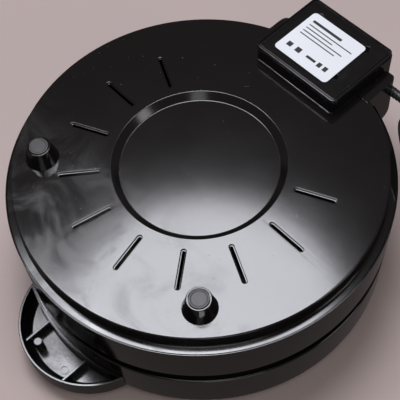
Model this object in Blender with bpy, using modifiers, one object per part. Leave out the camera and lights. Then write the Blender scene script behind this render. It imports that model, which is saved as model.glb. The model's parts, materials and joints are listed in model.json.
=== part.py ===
# Countertop tortilla maker, lid closed, standing on two front feet and on its rear box.
# Metres, +Z up. The handle is at -Y and the hinge at +Y.
# Every object hangs from an empty on the axis of the round body, which stands a little behind the origin.

import math

import bmesh
import bpy
from mathutils import Matrix, Vector

# Fits and roundness
GAP = 0.0003  # between neighbours that touch
OVERRUN = 0.001  # how far a cutter runs past the face it opens
BURY = 0.0012  # how far a joined shape reaches into what carries it
BIG_STEPS = 56
SHIELD_STEPS = 30
SMALL_SIDES = 24
MID_SIDES = 16
FASTENER_SIDES = 12
SHARP_ANGLE = math.radians(35)

# Round body
BODY_R = 0.160
WALL = 0.0025
PANEL_Z = 0.016  # underside of the bottom panel, above the surface that the cooker stands on
LEDGE_W = 0.0076
STEP_R = BODY_R - LEDGE_W  # wall between the panel and the ledge
STEP_DRAFT = 0.0004
STEP_H = 0.0143
STEP_ROUND = 0.0011
LEDGE_DROP = 0.0004
LIP_W = 0.0017  # lip of the side ring round the bottom cover
LIP_ROUND = 0.0008
BASE_TOP_Z = 0.073
RIM_ROUND = 0.0014
SHELF_W = 0.0045  # shelf inside the side ring, over the cover's ledge
SHELF_T = 0.002
FLANGE_W = 0.011
FLANGE_IN_R = BODY_R - FLANGE_W  # flange that carries a cooking plate
FLANGE_T = 0.002
FLANGE_DROP = 0.0033  # flange under the rim

# Recess and slots of the bottom panel
RECESS_OUT_R = 0.0713
RECESS_SLOPE_W = 0.0057
RECESS_IN_R = RECESS_OUT_R - RECESS_SLOPE_W
RECESS_D = 0.0056
RECESS_ROUND = 0.0007
SLOT_FROM_RECESS = 0.009
SLOT_FROM_STEP = 0.0379
SLOT_IN_R = RECESS_OUT_R + SLOT_FROM_RECESS
SLOT_OUT_R = STEP_R - SLOT_FROM_STEP
SLOT_W = 0.0038
SLOT_END_POINTS = 5
SLOTS_ROUND = 14  # places round the full circle
SLOTS_USED = 10  # counted from the front, as many on each side

# Rear box and hinge block
BOX_HALF_W = 0.0445
BOX_REACH_IN = 0.0511  # box in front of the round wall
BOX_REACH_OUT = 0.0235  # box and block behind the round wall
BOX_FRONT_Y = BODY_R - BOX_REACH_IN
BOX_BACK_Y = BODY_R + BOX_REACH_OUT
BOX_CORNER_R = 0.0045
BOX_COVER_T = 0.0026
BOX_COVER_ROUND = 0.0008
BLOCK_TOP_Z = 0.0438
BLOCK_FRONT_Y = BODY_R + WALL  # front of the hollow in the hinge block
BLOCK_SWELL_IN = 0.0035
BLOCK_SWELL_Y = BODY_R - BLOCK_SWELL_IN  # behind this, the block is a little wider than the box
BLOCK_SWELL = 0.0009
BLOCK_HALF_W = BOX_HALF_W + BLOCK_SWELL
CORNER_POINTS = 4
WIRE_HOLE_R = 0.007
WIRE_HOLE_IN = 0.0211
WIRE_HOLE_Y = BOX_FRONT_Y + WIRE_HOLE_IN
BOX_SCREW_X = 0.026
SCREW_FROM_FRONT = 0.0203
SCREW_FROM_BACK = 0.0147
BOX_SCREW_YS = (BOX_FRONT_Y + SCREW_FROM_FRONT, BOX_BACK_Y - SCREW_FROM_BACK)
BOX_CUP_R = 0.0055
BOX_CUP_D = 0.0062
BOX_HOLE_R = 0.0040
BOX_HOLE_D = 0.0046
BOX_BOSS_R = 0.0036
SCREW_R = 0.0015
SCREW_HOLE_R = 0.0018
SCREW_HEAD_R = 0.0032
SCREW_HEAD_T = 0.0019
SCREW_TIP_LEFT = 0.002  # of a blind hole, past the screw's tip
LABEL_W = 0.0586
LABEL_L = 0.0523
LABEL_IN = 0.0096
LABEL_FRONT_Y = BOX_FRONT_Y + LABEL_IN
LABEL_X = 0.0034
LABEL_CORNER_R = 0.004
LABEL_T = 0.0003

# Hinge
HINGE_BEHIND = 0.006  # pin behind the round wall
HINGE_Y = BODY_R + HINGE_BEHIND
HINGE_Z = 0.053
EAR_IN_X = BOX_HALF_W - GAP
EAR_OUT_X = 0.0575
EAR_TOP_R = 0.0110
EAR_BOTTOM_Z = 0.0150
EAR_ROOT_IN = 0.022
EAR_TOP_ROOT_IN = 0.010
EAR_ROOT_Y = BODY_R - EAR_ROOT_IN
EAR_TOP_ROOT_Y = BODY_R - EAR_TOP_ROOT_IN
LONG_EAR_REACH = 0.0065
LONG_EAR_REACH_Y = HINGE_Y + LONG_EAR_REACH
LONG_EAR_ROUND = 0.004
SHORT_EAR_FLAT_IN = 0.009
SHORT_EAR_FLAT_Y = BODY_R - SHORT_EAR_FLAT_IN
SHORT_EAR_ROUND = 0.017
EAR_PLAN_R = 0.0038
PIN_R = 0.0025
PIN_BORE_R = 0.0028
PIN_SKIN = 0.0035  # ear left outside the pin's end
ARM_W = 0.0112
ARM_R = 0.0072
ARM_BACK = 0.0062  # back of the arm behind the pin's axis
ARM_BELOW_TOP = 0.0135  # end of the arm below the lid's top
ARM_FOOT_UP = 0.003  # where the arm leaves the lid's wall, over the lid's edge

# Feet
FOOT_FROM_STEP = 0.0241
FOOT_R_PLACE = STEP_R - FOOT_FROM_STEP
FOOT_ANGLE = math.radians(47.1)
FOOT_ROOT_R = 0.0132
FOOT_END_R = 0.0096
FOOT_END_ROUND = 0.0012
FOOT_LIFT = 0.0004  # rim of the post over the pad's face
PAD_R = 0.0079
PAD_T = 0.0013
PAD_DISH = 0.00015
PAD_RIM = 0.0012
FOOT_BORE_R = 0.0042
FOOT_BORE_D = 0.0068
FOOT_SCREW_R = 0.00175
FOOT_SCREW_HOLE_R = 0.00205
FOOT_SCREW_TIP_Z = 0.053
POST_R = 0.005
POST_MEET_Z = 0.040  # where the cover's tube meets the plate's post

# Cooking plates, heaters and shields
PLATE_INSET = 0.008
PLATE_R = BODY_R - PLATE_INSET
PLATE_FACE_Z = 0.0795  # top of the lower plate
PLATE_AIR = 0.0005  # between the closed plates
PLATE_T = 0.005
PLATE_SKIRT_W = 0.0024
PLATE_ROUND = 0.0015
SHIELD_ROOM = 0.0018  # between the shield and the posts over the feet
SHIELD_FLANGE_W = 0.0055
SHIELD_SLOPE_W = 0.006
SHIELD_FLANGE_R = FOOT_R_PLACE - POST_R - SHIELD_ROOM
SHIELD_RIM_R = SHIELD_FLANGE_R - SHIELD_FLANGE_W
SHIELD_FLOOR_R = SHIELD_RIM_R - SHIELD_SLOPE_W
HEATER_FROM_SLOPE = 0.015
HEATER_RING_R = SHIELD_FLOOR_R - HEATER_FROM_SLOPE
HEATER_R = 0.0036
HEATER_END_ANGLE = math.radians(11)
HEATER_POINTS = 28
HEATER_BEND = 0.008
HEATER_LEAD = 0.012
SHIELD_T = 0.0008
SHIELD_D = 0.0125
SHIELD_PORT_R = 0.007
SHIELD_SCREW_D = 0.0035
THERMOSTAT_R = 0.008
THERMOSTAT_T = 0.007
THERMOSTAT_EAR_R = 0.011
THERMOSTAT_EAR_T = 0.0012
FUSE_R = 0.0022
FUSE_L = 0.014
FUSE_X = 0.030

# Lid
LID_BOTTOM_Z = 0.0855
LID_TOP_Z = 0.1375
LID_ROUND = 0.010
ROUND_POINTS = 5
INNER_ROUND_POINTS = 3
LENS_R = 0.0032
LENS_FLANGE_R = 0.0042
LENS_RISE = 0.0008
LENS_FLANGE_T = 0.001
LENS_X = 0.009
LENS_FROM_EDGE = 0.042
LENS_Y = LENS_FROM_EDGE - BODY_R
LAMP_BOARD_HALF_X = 0.017
LAMP_BOARD_HALF_Y = 0.007
LAMP_BOARD_T = 0.0016
ARM_TOP_Z = LID_TOP_Z - ARM_BELOW_TOP
ARM_FOOT_Z = LID_BOTTOM_Z + ARM_FOOT_UP

# Handle
HANDLE_IN = 0.0278
HANDLE_Y = HANDLE_IN - BODY_R  # centre of the round handle
HANDLE_R = 0.0625
HANDLE_WALL = 0.0022
HANDLE_BACK_WALL = 0.0022
HANDLE_BELOW_TOP = 0.0063
HANDLE_TOP_T = 0.0032
HANDLE_H = 0.0202
HANDLE_TOP_Z = LID_TOP_Z - HANDLE_BELOW_TOP
HANDLE_FLOOR_Z = HANDLE_TOP_Z - HANDLE_TOP_T
HANDLE_RIM_Z = HANDLE_TOP_Z - HANDLE_H
HANDLE_TOP_ROUND = 0.0022
HANDLE_FLOOR_R = 0.0548
HANDLE_SIDES = 54
RIB_X = 0.0247
RIB_T = 0.0022
RIB_SET_BACK = 0.0065  # edge of a rib inside the handle's rim
RIB_EDGE_Z = HANDLE_RIM_Z + RIB_SET_BACK
PEG_X = 0.0146
PEG_OUT = 0.0471  # peg in front of the handle's centre
PEG_Y = HANDLE_Y - PEG_OUT
PEG_R = 0.0038
PEG_SET_BACK = 0.0015
PEG_END_Z = HANDLE_RIM_Z + PEG_SET_BACK
HANDLE_SCREW_ANGLE = math.radians(13)
HANDLE_SCREW_UP = 0.0075
HANDLE_SCREW_Z = HANDLE_RIM_Z + HANDLE_SCREW_UP

# Supply: strain relief, terminal block, leads
CORD_R = 0.0035
EXIT_BEHIND = 0.0152  # cord hole behind the round wall
EXIT_Y = BODY_R + EXIT_BEHIND
EXIT_Z = 0.036
RELIEF_ROOT_R = 0.0047
RELIEF_END_R = 0.0041
RELIEF_NECK_R = 0.0041
RELIEF_HOLE_R = 0.0044
RELIEF_HEAD_R = 0.0047
RELIEF_HEAD_T = 0.003
RELIEF_L = 0.0225
TERMINAL_HALF_X = 0.012
TERMINAL_IN = 0.020
TERMINAL_L = 0.012
TERMINAL_FRONT_Y = BODY_R - TERMINAL_IN
TERMINAL_BACK_Y = TERMINAL_FRONT_Y + TERMINAL_L
TERMINAL_H = 0.0085
TERMINAL_ROUND = 0.0008
LEAD_R = 0.0011
LEAD_SPREAD = 0.0045

# Cord on the surface, and its coil
CORD_LIFT = 0.0003
COIL_X = -0.1640
COIL_Y = 0.1500
COIL_MEAN_R = 0.0388
COIL_STEP = 0.0077  # from turn to turn
COIL_TURNS_IN = 1.625
COIL_TURNS_OUT = 1.625
COIL_POINTS_PER_TURN = 24
TIE_ANGLE = math.radians(45)
TIE_W = 0.006
TIE_T = 0.0008
TIE_ROOM = 0.0004
TIE_CORNER_R = 0.003
COIL_LIFT = CORD_LIFT + TIE_T + TIE_ROOM

# Plug
PLUG_R = 0.0075
PLUG_L = 0.036
PLUG_TAIL_L = 0.014
PLUG_TAIL_R = 0.0042
PLUG_FLAT = 0.0135
PLUG_PIN_R = 0.0024
PLUG_PIN_L = 0.019
PLUG_PIN_ROOT = 0.004
PLUG_PIN_SPACING = 0.019

# The whole object without its cord is centred on the origin, front to back
AXIS_Y = (HANDLE_R - HANDLE_Y - BOX_BACK_Y) / 2


def clear_scene():
    for obj in list(bpy.data.objects):
        bpy.data.objects.remove(obj)


def new_collection(name):
    made = bpy.data.collections.new(name)
    bpy.context.scene.collection.children.link(made)
    return made


def empty(name, place, parent=None):
    obj = bpy.data.objects.new(name, None)
    obj.location = place
    obj.parent = parent
    parts.objects.link(obj)
    return obj


def look(name, color, roughness, metallic=0.0):
    made = bpy.data.materials.new(name)
    made.use_nodes = True
    shader = made.node_tree.nodes["Principled BSDF"]
    shader.inputs["Base Color"].default_value = (*color, 1.0)
    shader.inputs["Roughness"].default_value = roughness
    shader.inputs["Metallic"].default_value = metallic
    made.diffuse_color = (*color, 1.0)
    return made


def add(name, data, finish=None):
    """A piece with its finish, or a cutter where there is none."""
    obj = bpy.data.objects.new(name, data)
    if finish is None:
        cutters.objects.link(obj)
        obj.hide_render = True
        obj.display_type = "WIRE"
    else:
        parts.objects.link(obj)
        data.materials.append(finish)
    obj.parent = frames["base"]
    return obj


def on_lid(obj):
    """Hangs a piece or a cutter from the hinge, where it already is."""
    obj.parent = frames["lid"]
    obj.location = (0, -HINGE_Y, -HINGE_Z)
    return obj


def smooth(mesh):
    mesh.shade_smooth()
    mesh.set_sharp_from_angle(angle=SHARP_ANGLE)


def as_mesh(obj):
    """The evaluated mesh of an object, with its loose caps welded. The object goes."""
    graph = bpy.context.evaluated_depsgraph_get()
    mesh = bpy.data.meshes.new_from_object(obj.evaluated_get(graph))
    bpy.data.objects.remove(obj)
    shape = bmesh.new()
    shape.from_mesh(mesh)
    bmesh.ops.remove_doubles(shape, verts=shape.verts, dist=GAP / 100)
    shape.to_mesh(mesh)
    shape.free()
    return mesh


def turned(name, profile, finish=None, steps=BIG_STEPS):
    """A profile of (radius, height) points, turned about Z."""
    mesh = bpy.data.meshes.new(name)
    closed = profile[0][0] > 0 and profile[-1][0] > 0
    edges = [(i, i + 1) for i in range(len(profile) - 1)]
    if closed:
        edges.append((len(profile) - 1, 0))
    mesh.from_pydata([(r, 0, z) for r, z in profile], edges, [])
    source = bpy.data.objects.new(name, mesh)
    bpy.context.scene.collection.objects.link(source)
    screw = source.modifiers.new("Turn", "SCREW")
    screw.steps = steps
    screw.render_steps = steps
    screw.use_merge_vertices = True
    screw.merge_threshold = 0.00001
    made = as_mesh(source)
    smooth(made)
    return add(name, made, finish)


def cylinder(name, start, end, radius, finish=None, end_radius=None, sides=SMALL_SIDES):
    """A round bar or cone between two points."""
    start, end = Vector(start), Vector(end)
    along = end - start
    shape = bmesh.new()
    bmesh.ops.create_cone(
        shape,
        cap_ends=True,
        segments=sides,
        radius1=radius,
        radius2=radius if end_radius is None else end_radius,
        depth=along.length,
    )
    turn = along.to_track_quat("Z", "Y").to_matrix().to_4x4()
    bmesh.ops.transform(
        shape, matrix=Matrix.Translation((start + end) / 2) @ turn, verts=shape.verts
    )
    mesh = bpy.data.meshes.new(name)
    shape.to_mesh(mesh)
    shape.free()
    smooth(mesh)
    return add(name, mesh, finish)


def block(name, low, high, finish=None):
    low, high = Vector(low), Vector(high)
    shape = bmesh.new()
    bmesh.ops.create_cube(shape, size=1)
    size = Matrix.Diagonal((*(high - low), 1))
    bmesh.ops.transform(
        shape, matrix=Matrix.Translation((low + high) / 2) @ size, verts=shape.verts
    )
    mesh = bpy.data.meshes.new(name)
    shape.to_mesh(mesh)
    shape.free()
    return add(name, mesh, finish)


def slab(name, outline, low, high, finish=None, along="Z"):
    """A flat outline with a thickness from low to high. Along X, the outline's points are (Y, Z)."""
    curve = bpy.data.curves.new(name, "CURVE")
    curve.dimensions = "2D"
    curve.fill_mode = "BOTH"
    curve.extrude = (high - low) / 2
    spline = curve.splines.new("POLY")
    spline.points.add(len(outline) - 1)
    for point, (x, y) in zip(spline.points, outline):
        point.co = (x, y, 0, 1)
    spline.use_cyclic_u = True
    source = bpy.data.objects.new(name, curve)
    bpy.context.scene.collection.objects.link(source)
    mesh = as_mesh(source)
    mesh.transform(Matrix.Translation((0, 0, (high + low) / 2)))
    if along == "X":
        mesh.transform(Matrix(((0, 0, 1, 0), (1, 0, 0, 0), (0, 1, 0, 0), (0, 0, 0, 1))))
    smooth(mesh)
    return add(name, mesh, finish)


def tube(name, points, radius, finish, resolution=2):
    """A round cord, wire or heater through the points."""
    curve = bpy.data.curves.new(name, "CURVE")
    curve.dimensions = "3D"
    curve.bevel_depth = radius
    curve.bevel_resolution = resolution
    curve.use_fill_caps = True
    spline = curve.splines.new("POLY")
    spline.points.add(len(points) - 1)
    for point, place in zip(spline.points, points):
        point.co = (*place, 1)
    spline.use_smooth = True
    return add(name, curve, finish)


def boolean(obj, other, operation="DIFFERENCE"):
    change = obj.modifiers.new(other.name, "BOOLEAN")
    change.operation = operation
    change.object = other
    return obj


def rounded(obj, width, segments=2, angle=SHARP_ANGLE):
    bevel = obj.modifiers.new("Rounded edges", "BEVEL")
    bevel.width = width
    bevel.segments = segments
    bevel.limit_method = "ANGLE"
    bevel.angle_limit = angle
    return obj


def arc(centre, radius, start, end, count):
    """Points from one angle to another, both included."""
    steps = [start + (end - start) * i / (count - 1) for i in range(count)]
    return [(centre[0] + radius * math.cos(a), centre[1] + radius * math.sin(a)) for a in steps]


def rounded_rectangle(half_x, low_y, high_y, radius, centre_x=0.0):
    """Corner points of a rectangle with round corners, anticlockwise."""
    quarter = math.pi / 2
    corners = (
        (half_x - radius, low_y + radius, -quarter),
        (half_x - radius, high_y - radius, 0),
        (radius - half_x, high_y - radius, quarter),
        (radius - half_x, low_y + radius, 2 * quarter),
    )
    outline = []
    for x, y, turn in corners:
        outline += arc((centre_x + x, y), radius, turn, turn + quarter, CORNER_POINTS)
    return outline


def around_front(angle, radius, height):
    """A point at this angle from the front, towards +X."""
    return Vector((radius * math.sin(angle), -radius * math.cos(angle), height))


def smooth_path(points, spacing):
    """Points about this far apart along a smooth curve through the given ones."""
    points = [Vector(p) for p in points]
    ends = [2 * points[0] - points[1], *points, 2 * points[-1] - points[-2]]
    path = []
    for before, start, end, after in zip(ends, ends[1:], ends[2:], ends[3:]):
        count = max(1, round((end - start).length / spacing))
        for i in range(count):
            t = i / count
            path.append(
                (
                    2 * start
                    + (end - before) * t
                    + (2 * before - 5 * start + 4 * end - after) * t**2
                    + (3 * start - before - 3 * end + after) * t**3
                )
                / 2
            )
    return [*path, points[-1]]


def length_of(path):
    return sum((Vector(b) - Vector(a)).length for a, b in zip(path, path[1:]))


def make_looks():
    return {
        "gloss": look("gloss_black", (0.012, 0.012, 0.013), 0.12),
        "satin": look("satin_black", (0.02, 0.02, 0.021), 0.4),
        "rubber": look("foot_rubber", (0.09, 0.09, 0.092), 0.6),
        "cord": look("cord_black", (0.02, 0.02, 0.021), 0.45),
        "coating": look("plate_coating", (0.025, 0.025, 0.026), 0.45),
        "steel": look("steel", (0.62, 0.62, 0.61), 0.35, 1.0),
        "zinc": look("screw_zinc", (0.55, 0.55, 0.54), 0.4, 1.0),
        "label": look("label_white", (0.85, 0.86, 0.87), 0.5),
        "red": look("lens_red", (0.6, 0.03, 0.02), 0.15),
        "green": look("lens_green", (0.03, 0.45, 0.08), 0.15),
        "ceramic": look("ceramic_white", (0.78, 0.76, 0.72), 0.5),
        "board": look("lamp_board", (0.05, 0.22, 0.08), 0.5),
        "wire": look("wire_sleeve", (0.75, 0.74, 0.7), 0.6),
    }


def core():
    """What lies inside the middle of the side ring's and the cover's walls."""
    inner_r = BODY_R - WALL + BURY
    step_r = STEP_R - WALL + BURY
    floor_z = PANEL_Z + BURY
    shelf_z = PANEL_Z + STEP_H + BURY
    top_z = BASE_TOP_Z + OVERRUN
    return turned(
        "inside_of_base",
        [(0, top_z), (inner_r, top_z), (inner_r, shelf_z), (step_r, shelf_z), (step_r, floor_z), (0, floor_z)],
    )


def ear(name, side, reach_profile):
    """A hinge ear: a side outline and a plan outline, where they meet."""
    top_z = HINGE_Z + EAR_TOP_R
    top_centre_y = LONG_EAR_REACH_Y - EAR_TOP_R
    outline = [
        *reach_profile,
        *arc((top_centre_y, HINGE_Z), EAR_TOP_R, 0, math.pi / 2, CORNER_POINTS + 2),
        (EAR_TOP_ROOT_Y, top_z),
    ]
    low_x, high_x = sorted((side * EAR_IN_X, side * EAR_OUT_X))
    made = slab(name, outline, low_x, high_x, along="X")
    reach = LONG_EAR_REACH_Y + OVERRUN
    corner = arc(
        (EAR_OUT_X - EAR_PLAN_R, LONG_EAR_REACH_Y - EAR_PLAN_R),
        EAR_PLAN_R,
        0,
        math.pi / 2,
        CORNER_POINTS + 2,
    )
    plan = [(0, 0), (EAR_OUT_X + OVERRUN, 0), (EAR_OUT_X + OVERRUN, EAR_ROOT_Y), (EAR_OUT_X, EAR_ROOT_Y)]
    plan += [*corner, (0, reach - OVERRUN)]
    if side < 0:
        plan = [(-x, y) for x, y in reversed(plan)]
    rounder = slab(name + "_plan", plan, 0, BASE_TOP_Z)
    boolean(made, rounder, "INTERSECT")
    front_r = STEP_R - WALL + BURY + GAP
    low_z, high_z = EAR_BOTTOM_Z - OVERRUN, PANEL_Z + WALL
    front = turned(name + "_front", [(0, high_z), (front_r, high_z), (front_r, low_z), (0, low_z)])
    boolean(made, front)
    return made


def base_housing(finish, inside):
    """Side ring with the hinge block, the box under it and the two hinge ears."""
    inner_r = BODY_R - WALL
    lip_z = PANEL_Z + STEP_H
    lip_in_r = BODY_R - LIP_W
    shelf_z = lip_z + LEDGE_DROP + WALL + GAP
    flange_z = BASE_TOP_Z - FLANGE_DROP
    profile = [
        (inner_r, BASE_TOP_Z),
        *arc((BODY_R - RIM_ROUND, BASE_TOP_Z - RIM_ROUND), RIM_ROUND, math.pi / 2, 0, 2),
        *arc((BODY_R - LIP_ROUND, lip_z + LIP_ROUND), LIP_ROUND, 0, -math.pi / 2, 2),
        (lip_in_r, lip_z),
        (lip_in_r, shelf_z),
        (BODY_R - SHELF_W, shelf_z),
        (BODY_R - SHELF_W, shelf_z + SHELF_T),
        (inner_r, shelf_z + SHELF_T),
        (inner_r, flange_z - FLANGE_T),
        (FLANGE_IN_R, flange_z - FLANGE_T),
        (FLANGE_IN_R, flange_z),
        (inner_r, flange_z),
    ]
    housing = turned("base_housing", profile, finish)

    # Hinge block, trimmed to the round wall with its ears, and the box in front of it
    wall_z = BOX_COVER_T + GAP
    roof_z = PANEL_Z + WALL
    outline = rounded_rectangle(BLOCK_HALF_W, BOX_FRONT_Y, BOX_BACK_Y, BOX_CORNER_R)
    rear = [(x, y) for x, y in outline if y > BLOCK_FRONT_Y]
    swell_y = BLOCK_SWELL_Y + BLOCK_SWELL
    right = [(BOX_HALF_W, EAR_ROOT_Y), (BOX_HALF_W, BLOCK_SWELL_Y), (BLOCK_HALF_W, swell_y)]
    left = [(-x, y) for x, y in reversed(right)]
    hinge_block = slab("block_solid", [*right, *rear, *left], wall_z, BLOCK_TOP_Z)
    outline = rounded_rectangle(BOX_HALF_W, BOX_FRONT_Y, BLOCK_FRONT_Y, BOX_CORNER_R)
    box = slab("box_solid", outline, wall_z, roof_z)

    # Ears: the one beside the cord reaches further back along its foot
    top_z = HINGE_Z
    quarter = math.pi / 2
    long_profile = [(EAR_ROOT_Y, EAR_BOTTOM_Z)]
    long_profile += arc(
        (LONG_EAR_REACH_Y - LONG_EAR_ROUND, EAR_BOTTOM_Z + LONG_EAR_ROUND),
        LONG_EAR_ROUND,
        -quarter,
        0,
        CORNER_POINTS,
    )
    short_profile = [(EAR_ROOT_Y, EAR_BOTTOM_Z)]
    short_profile += arc(
        (SHORT_EAR_FLAT_Y, EAR_BOTTOM_Z + SHORT_EAR_ROUND), SHORT_EAR_ROUND, -quarter, 0, CORNER_POINTS + 2
    )
    boolean(hinge_block, ear("ear_left_solid", -1, long_profile), "UNION")
    boolean(hinge_block, ear("ear_right_solid", 1, short_profile), "UNION")
    boolean(hinge_block, inside)
    boolean(housing, hinge_block, "UNION")
    boolean(housing, box, "UNION")

    # Hollows of the box and of the hinge block, open at the bottom
    box_hollow = rounded_rectangle(
        BOX_HALF_W - WALL, BOX_FRONT_Y + WALL, BOX_BACK_Y - WALL, BOX_CORNER_R - WALL
    )
    boolean(housing, slab("box_hollow", box_hollow, 0, PANEL_Z))
    block_hollow = rounded_rectangle(
        BLOCK_HALF_W - WALL, BLOCK_FRONT_Y, BOX_BACK_Y - WALL, BOX_CORNER_R - WALL
    )
    boolean(housing, slab("block_hollow", block_hollow, WALL, BLOCK_TOP_Z - WALL))

    # Bosses for the cover's screws
    boss_z = BOX_CUP_D + GAP
    for i, (x, y) in enumerate(box_screw_places(), 1):
        roof = BLOCK_TOP_Z - WALL if y > BLOCK_FRONT_Y else PANEL_Z
        boss = cylinder(f"boss_{i}", (x, y, boss_z), (x, y, roof + BURY), BOX_BOSS_R, sides=FASTENER_SIDES)
        boolean(housing, boss, "UNION")
        hole = cylinder(
            f"boss_hole_{i}", (x, y, 0), (x, y, PANEL_Z - BURY), SCREW_HOLE_R, sides=FASTENER_SIDES
        )
        boolean(housing, hole)

    # Holes for the pins, the cord and the wires
    for side, word in ((-1, "left"), (1, "right")):
        start = (side * (EAR_IN_X - OVERRUN), HINGE_Y, HINGE_Z)
        end = (side * (EAR_OUT_X - PIN_SKIN), HINGE_Y, HINGE_Z)
        boolean(housing, cylinder(f"pin_bore_{word}", start, end, PIN_BORE_R))
    boolean(
        housing,
        cylinder(
            "cord_hole",
            (-BLOCK_HALF_W - OVERRUN, EXIT_Y, EXIT_Z),
            (WALL + OVERRUN - BLOCK_HALF_W, EXIT_Y, EXIT_Z),
            RELIEF_HOLE_R,
        ),
    )
    boolean(
        housing,
        cylinder(
            "relief_groove",
            (-EAR_OUT_X - OVERRUN, EXIT_Y, EXIT_Z),
            (GAP - BLOCK_HALF_W, EXIT_Y, EXIT_Z),
            RELIEF_ROOT_R + GAP,
        ),
    )
    boolean(
        housing,
        cylinder(
            "wire_hole", (0, WIRE_HOLE_Y, PANEL_Z - OVERRUN), (0, WIRE_HOLE_Y, roof_z + OVERRUN), WIRE_HOLE_R
        ),
    )
    return housing


def bottom_cover(finish):
    """Panel with its round recess and vents, the step round it and the ledge outside the step."""
    ledge_r = BODY_R - LIP_W - GAP
    ledge_z = PANEL_Z + STEP_H
    edge = STEP_ROUND
    profile = [
        (0, PANEL_Z + RECESS_D + WALL),
        (RECESS_IN_R, PANEL_Z + RECESS_D + WALL),
        (RECESS_OUT_R, PANEL_Z + WALL),
        (STEP_R - WALL, PANEL_Z + WALL),
        (STEP_R - WALL, ledge_z + WALL),
        (ledge_r, ledge_z + LEDGE_DROP + WALL),
        (ledge_r, ledge_z + LEDGE_DROP),
        (STEP_R + STEP_DRAFT + STEP_ROUND, ledge_z),
        (STEP_R + STEP_DRAFT, ledge_z - STEP_ROUND),
        *arc((STEP_R - edge, PANEL_Z + edge), edge, 0, -math.pi / 2, 3),
        (RECESS_OUT_R, PANEL_Z),
        (RECESS_OUT_R - RECESS_ROUND, PANEL_Z + RECESS_ROUND / 2),
        (RECESS_IN_R, PANEL_Z + RECESS_D),
        (0, PANEL_Z + RECESS_D),
    ]
    cover = turned("bottom_cover", profile, finish)

    # Radial vent slots
    pitch = 2 * math.pi / SLOTS_ROUND
    low_z, high_z = PANEL_Z - OVERRUN, PANEL_Z + WALL + OVERRUN
    for i in range(SLOTS_USED):
        angle = (i - (SLOTS_USED - 1) / 2) * pitch
        half = SLOT_W / 2
        ends = arc((SLOT_OUT_R - half, 0), half, -math.pi / 2, math.pi / 2, SLOT_END_POINTS)
        ends += arc((SLOT_IN_R + half, 0), half, math.pi / 2, 3 * math.pi / 2, SLOT_END_POINTS)
        turn = angle - math.pi / 2
        outline = [
            (x * math.cos(turn) - y * math.sin(turn), x * math.sin(turn) + y * math.cos(turn))
            for x, y in ends
        ]
        boolean(cover, slab(f"slot_cut_{i + 1}", outline, low_z, high_z))

    # Notch round the box, tubes over the feet and the holes in them
    notch = rounded_rectangle(BOX_HALF_W + GAP, BOX_FRONT_Y - GAP, BOX_BACK_Y, BOX_CORNER_R)
    boolean(cover, slab("box_notch", notch, 0, BLOCK_TOP_Z))
    for side, word in ((-1, "left"), (1, "right")):
        ear_low, ear_high = sorted((side * BOX_HALF_W, side * (EAR_OUT_X + GAP)))
        ear_front = STEP_R - WALL + BURY
        gap_low = (ear_low, 0, EAR_BOTTOM_Z - GAP)
        cutter = block(f"ear_notch_{word}", gap_low, (ear_high, BOX_BACK_Y, BLOCK_TOP_Z))
        trimmed = turned(
            f"ear_notch_inside_{word}",
            [(0, BASE_TOP_Z), (ear_front - GAP, BASE_TOP_Z), (ear_front - GAP, 0), (0, 0)],
        )
        boolean(cutter, trimmed)
        boolean(cover, cutter)
        at = foot_place(side)
        boss = cylinder(
            f"foot_tube_{word}", (at.x, at.y, PANEL_Z + BURY), (at.x, at.y, POST_MEET_Z), POST_R
        )
        boolean(cover, boss, "UNION")
        hole = cylinder(
            f"foot_tube_hole_{word}", (at.x, at.y, 0), (at.x, at.y, BASE_TOP_Z), FOOT_SCREW_HOLE_R
        )
        boolean(cover, hole)
    return cover


def foot_place(side):
    return around_front(side * FOOT_ANGLE, FOOT_R_PLACE, 0)


def box_screw_places():
    return [(x, y) for y in BOX_SCREW_YS for x in (-BOX_SCREW_X, BOX_SCREW_X)]


def move(obj, place):
    """Moves the mesh of an object made on the body's axis."""
    obj.data.transform(Matrix.Translation(place))
    return obj


def box_cover(finish):
    outline = rounded_rectangle(BOX_HALF_W, BOX_FRONT_Y, BOX_BACK_Y, BOX_CORNER_R)
    cover = slab("rear_box_cover", outline, 0, BOX_COVER_T, finish)
    rounded(cover, BOX_COVER_ROUND)
    for i, (x, y) in enumerate(box_screw_places(), 1):
        cup = cylinder(f"cup_{i}", (x, y, BOX_COVER_T - BURY), (x, y, BOX_CUP_D), BOX_CUP_R, sides=MID_SIDES)
        boolean(cover, cup, "UNION")
        seat = cylinder(f"cup_hole_{i}", (x, y, -OVERRUN), (x, y, BOX_HOLE_D), BOX_HOLE_R, sides=MID_SIDES)
        boolean(cover, seat)
        hole = cylinder(f"shank_hole_{i}", (x, y, 0), (x, y, PANEL_Z), SCREW_HOLE_R, sides=FASTENER_SIDES)
        boolean(cover, hole)
    label_seat = rounded_rectangle(
        LABEL_W / 2 + GAP,
        LABEL_FRONT_Y - GAP,
        LABEL_FRONT_Y + LABEL_L + GAP,
        LABEL_CORNER_R + GAP,
        LABEL_X,
    )
    boolean(cover, slab("label_seat", label_seat, -OVERRUN, LABEL_T + GAP))
    return cover


def rating_label(finish):
    outline = rounded_rectangle(
        LABEL_W / 2, LABEL_FRONT_Y, LABEL_FRONT_Y + LABEL_L, LABEL_CORNER_R, LABEL_X
    )
    return slab("rating_label", outline, 0, LABEL_T, finish)


def screw(name, place, head_z, tip_z, radius, head_r, head_t, finish, turn=None):
    """A round-headed screw on a line along Z, with its head at head_z and its tip at tip_z."""
    way = 1 if tip_z > head_z else -1
    under = head_z + way * head_t
    profile = [(0, head_z), (head_r, head_z), (head_r, under), (radius, under), (radius, tip_z), (0, tip_z)]
    if way > 0:
        profile.reverse()
    made = turned(name, profile, finish, steps=FASTENER_SIDES)
    made.data.transform(Matrix.Translation(place) @ (turn or Matrix()))
    return made


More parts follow.
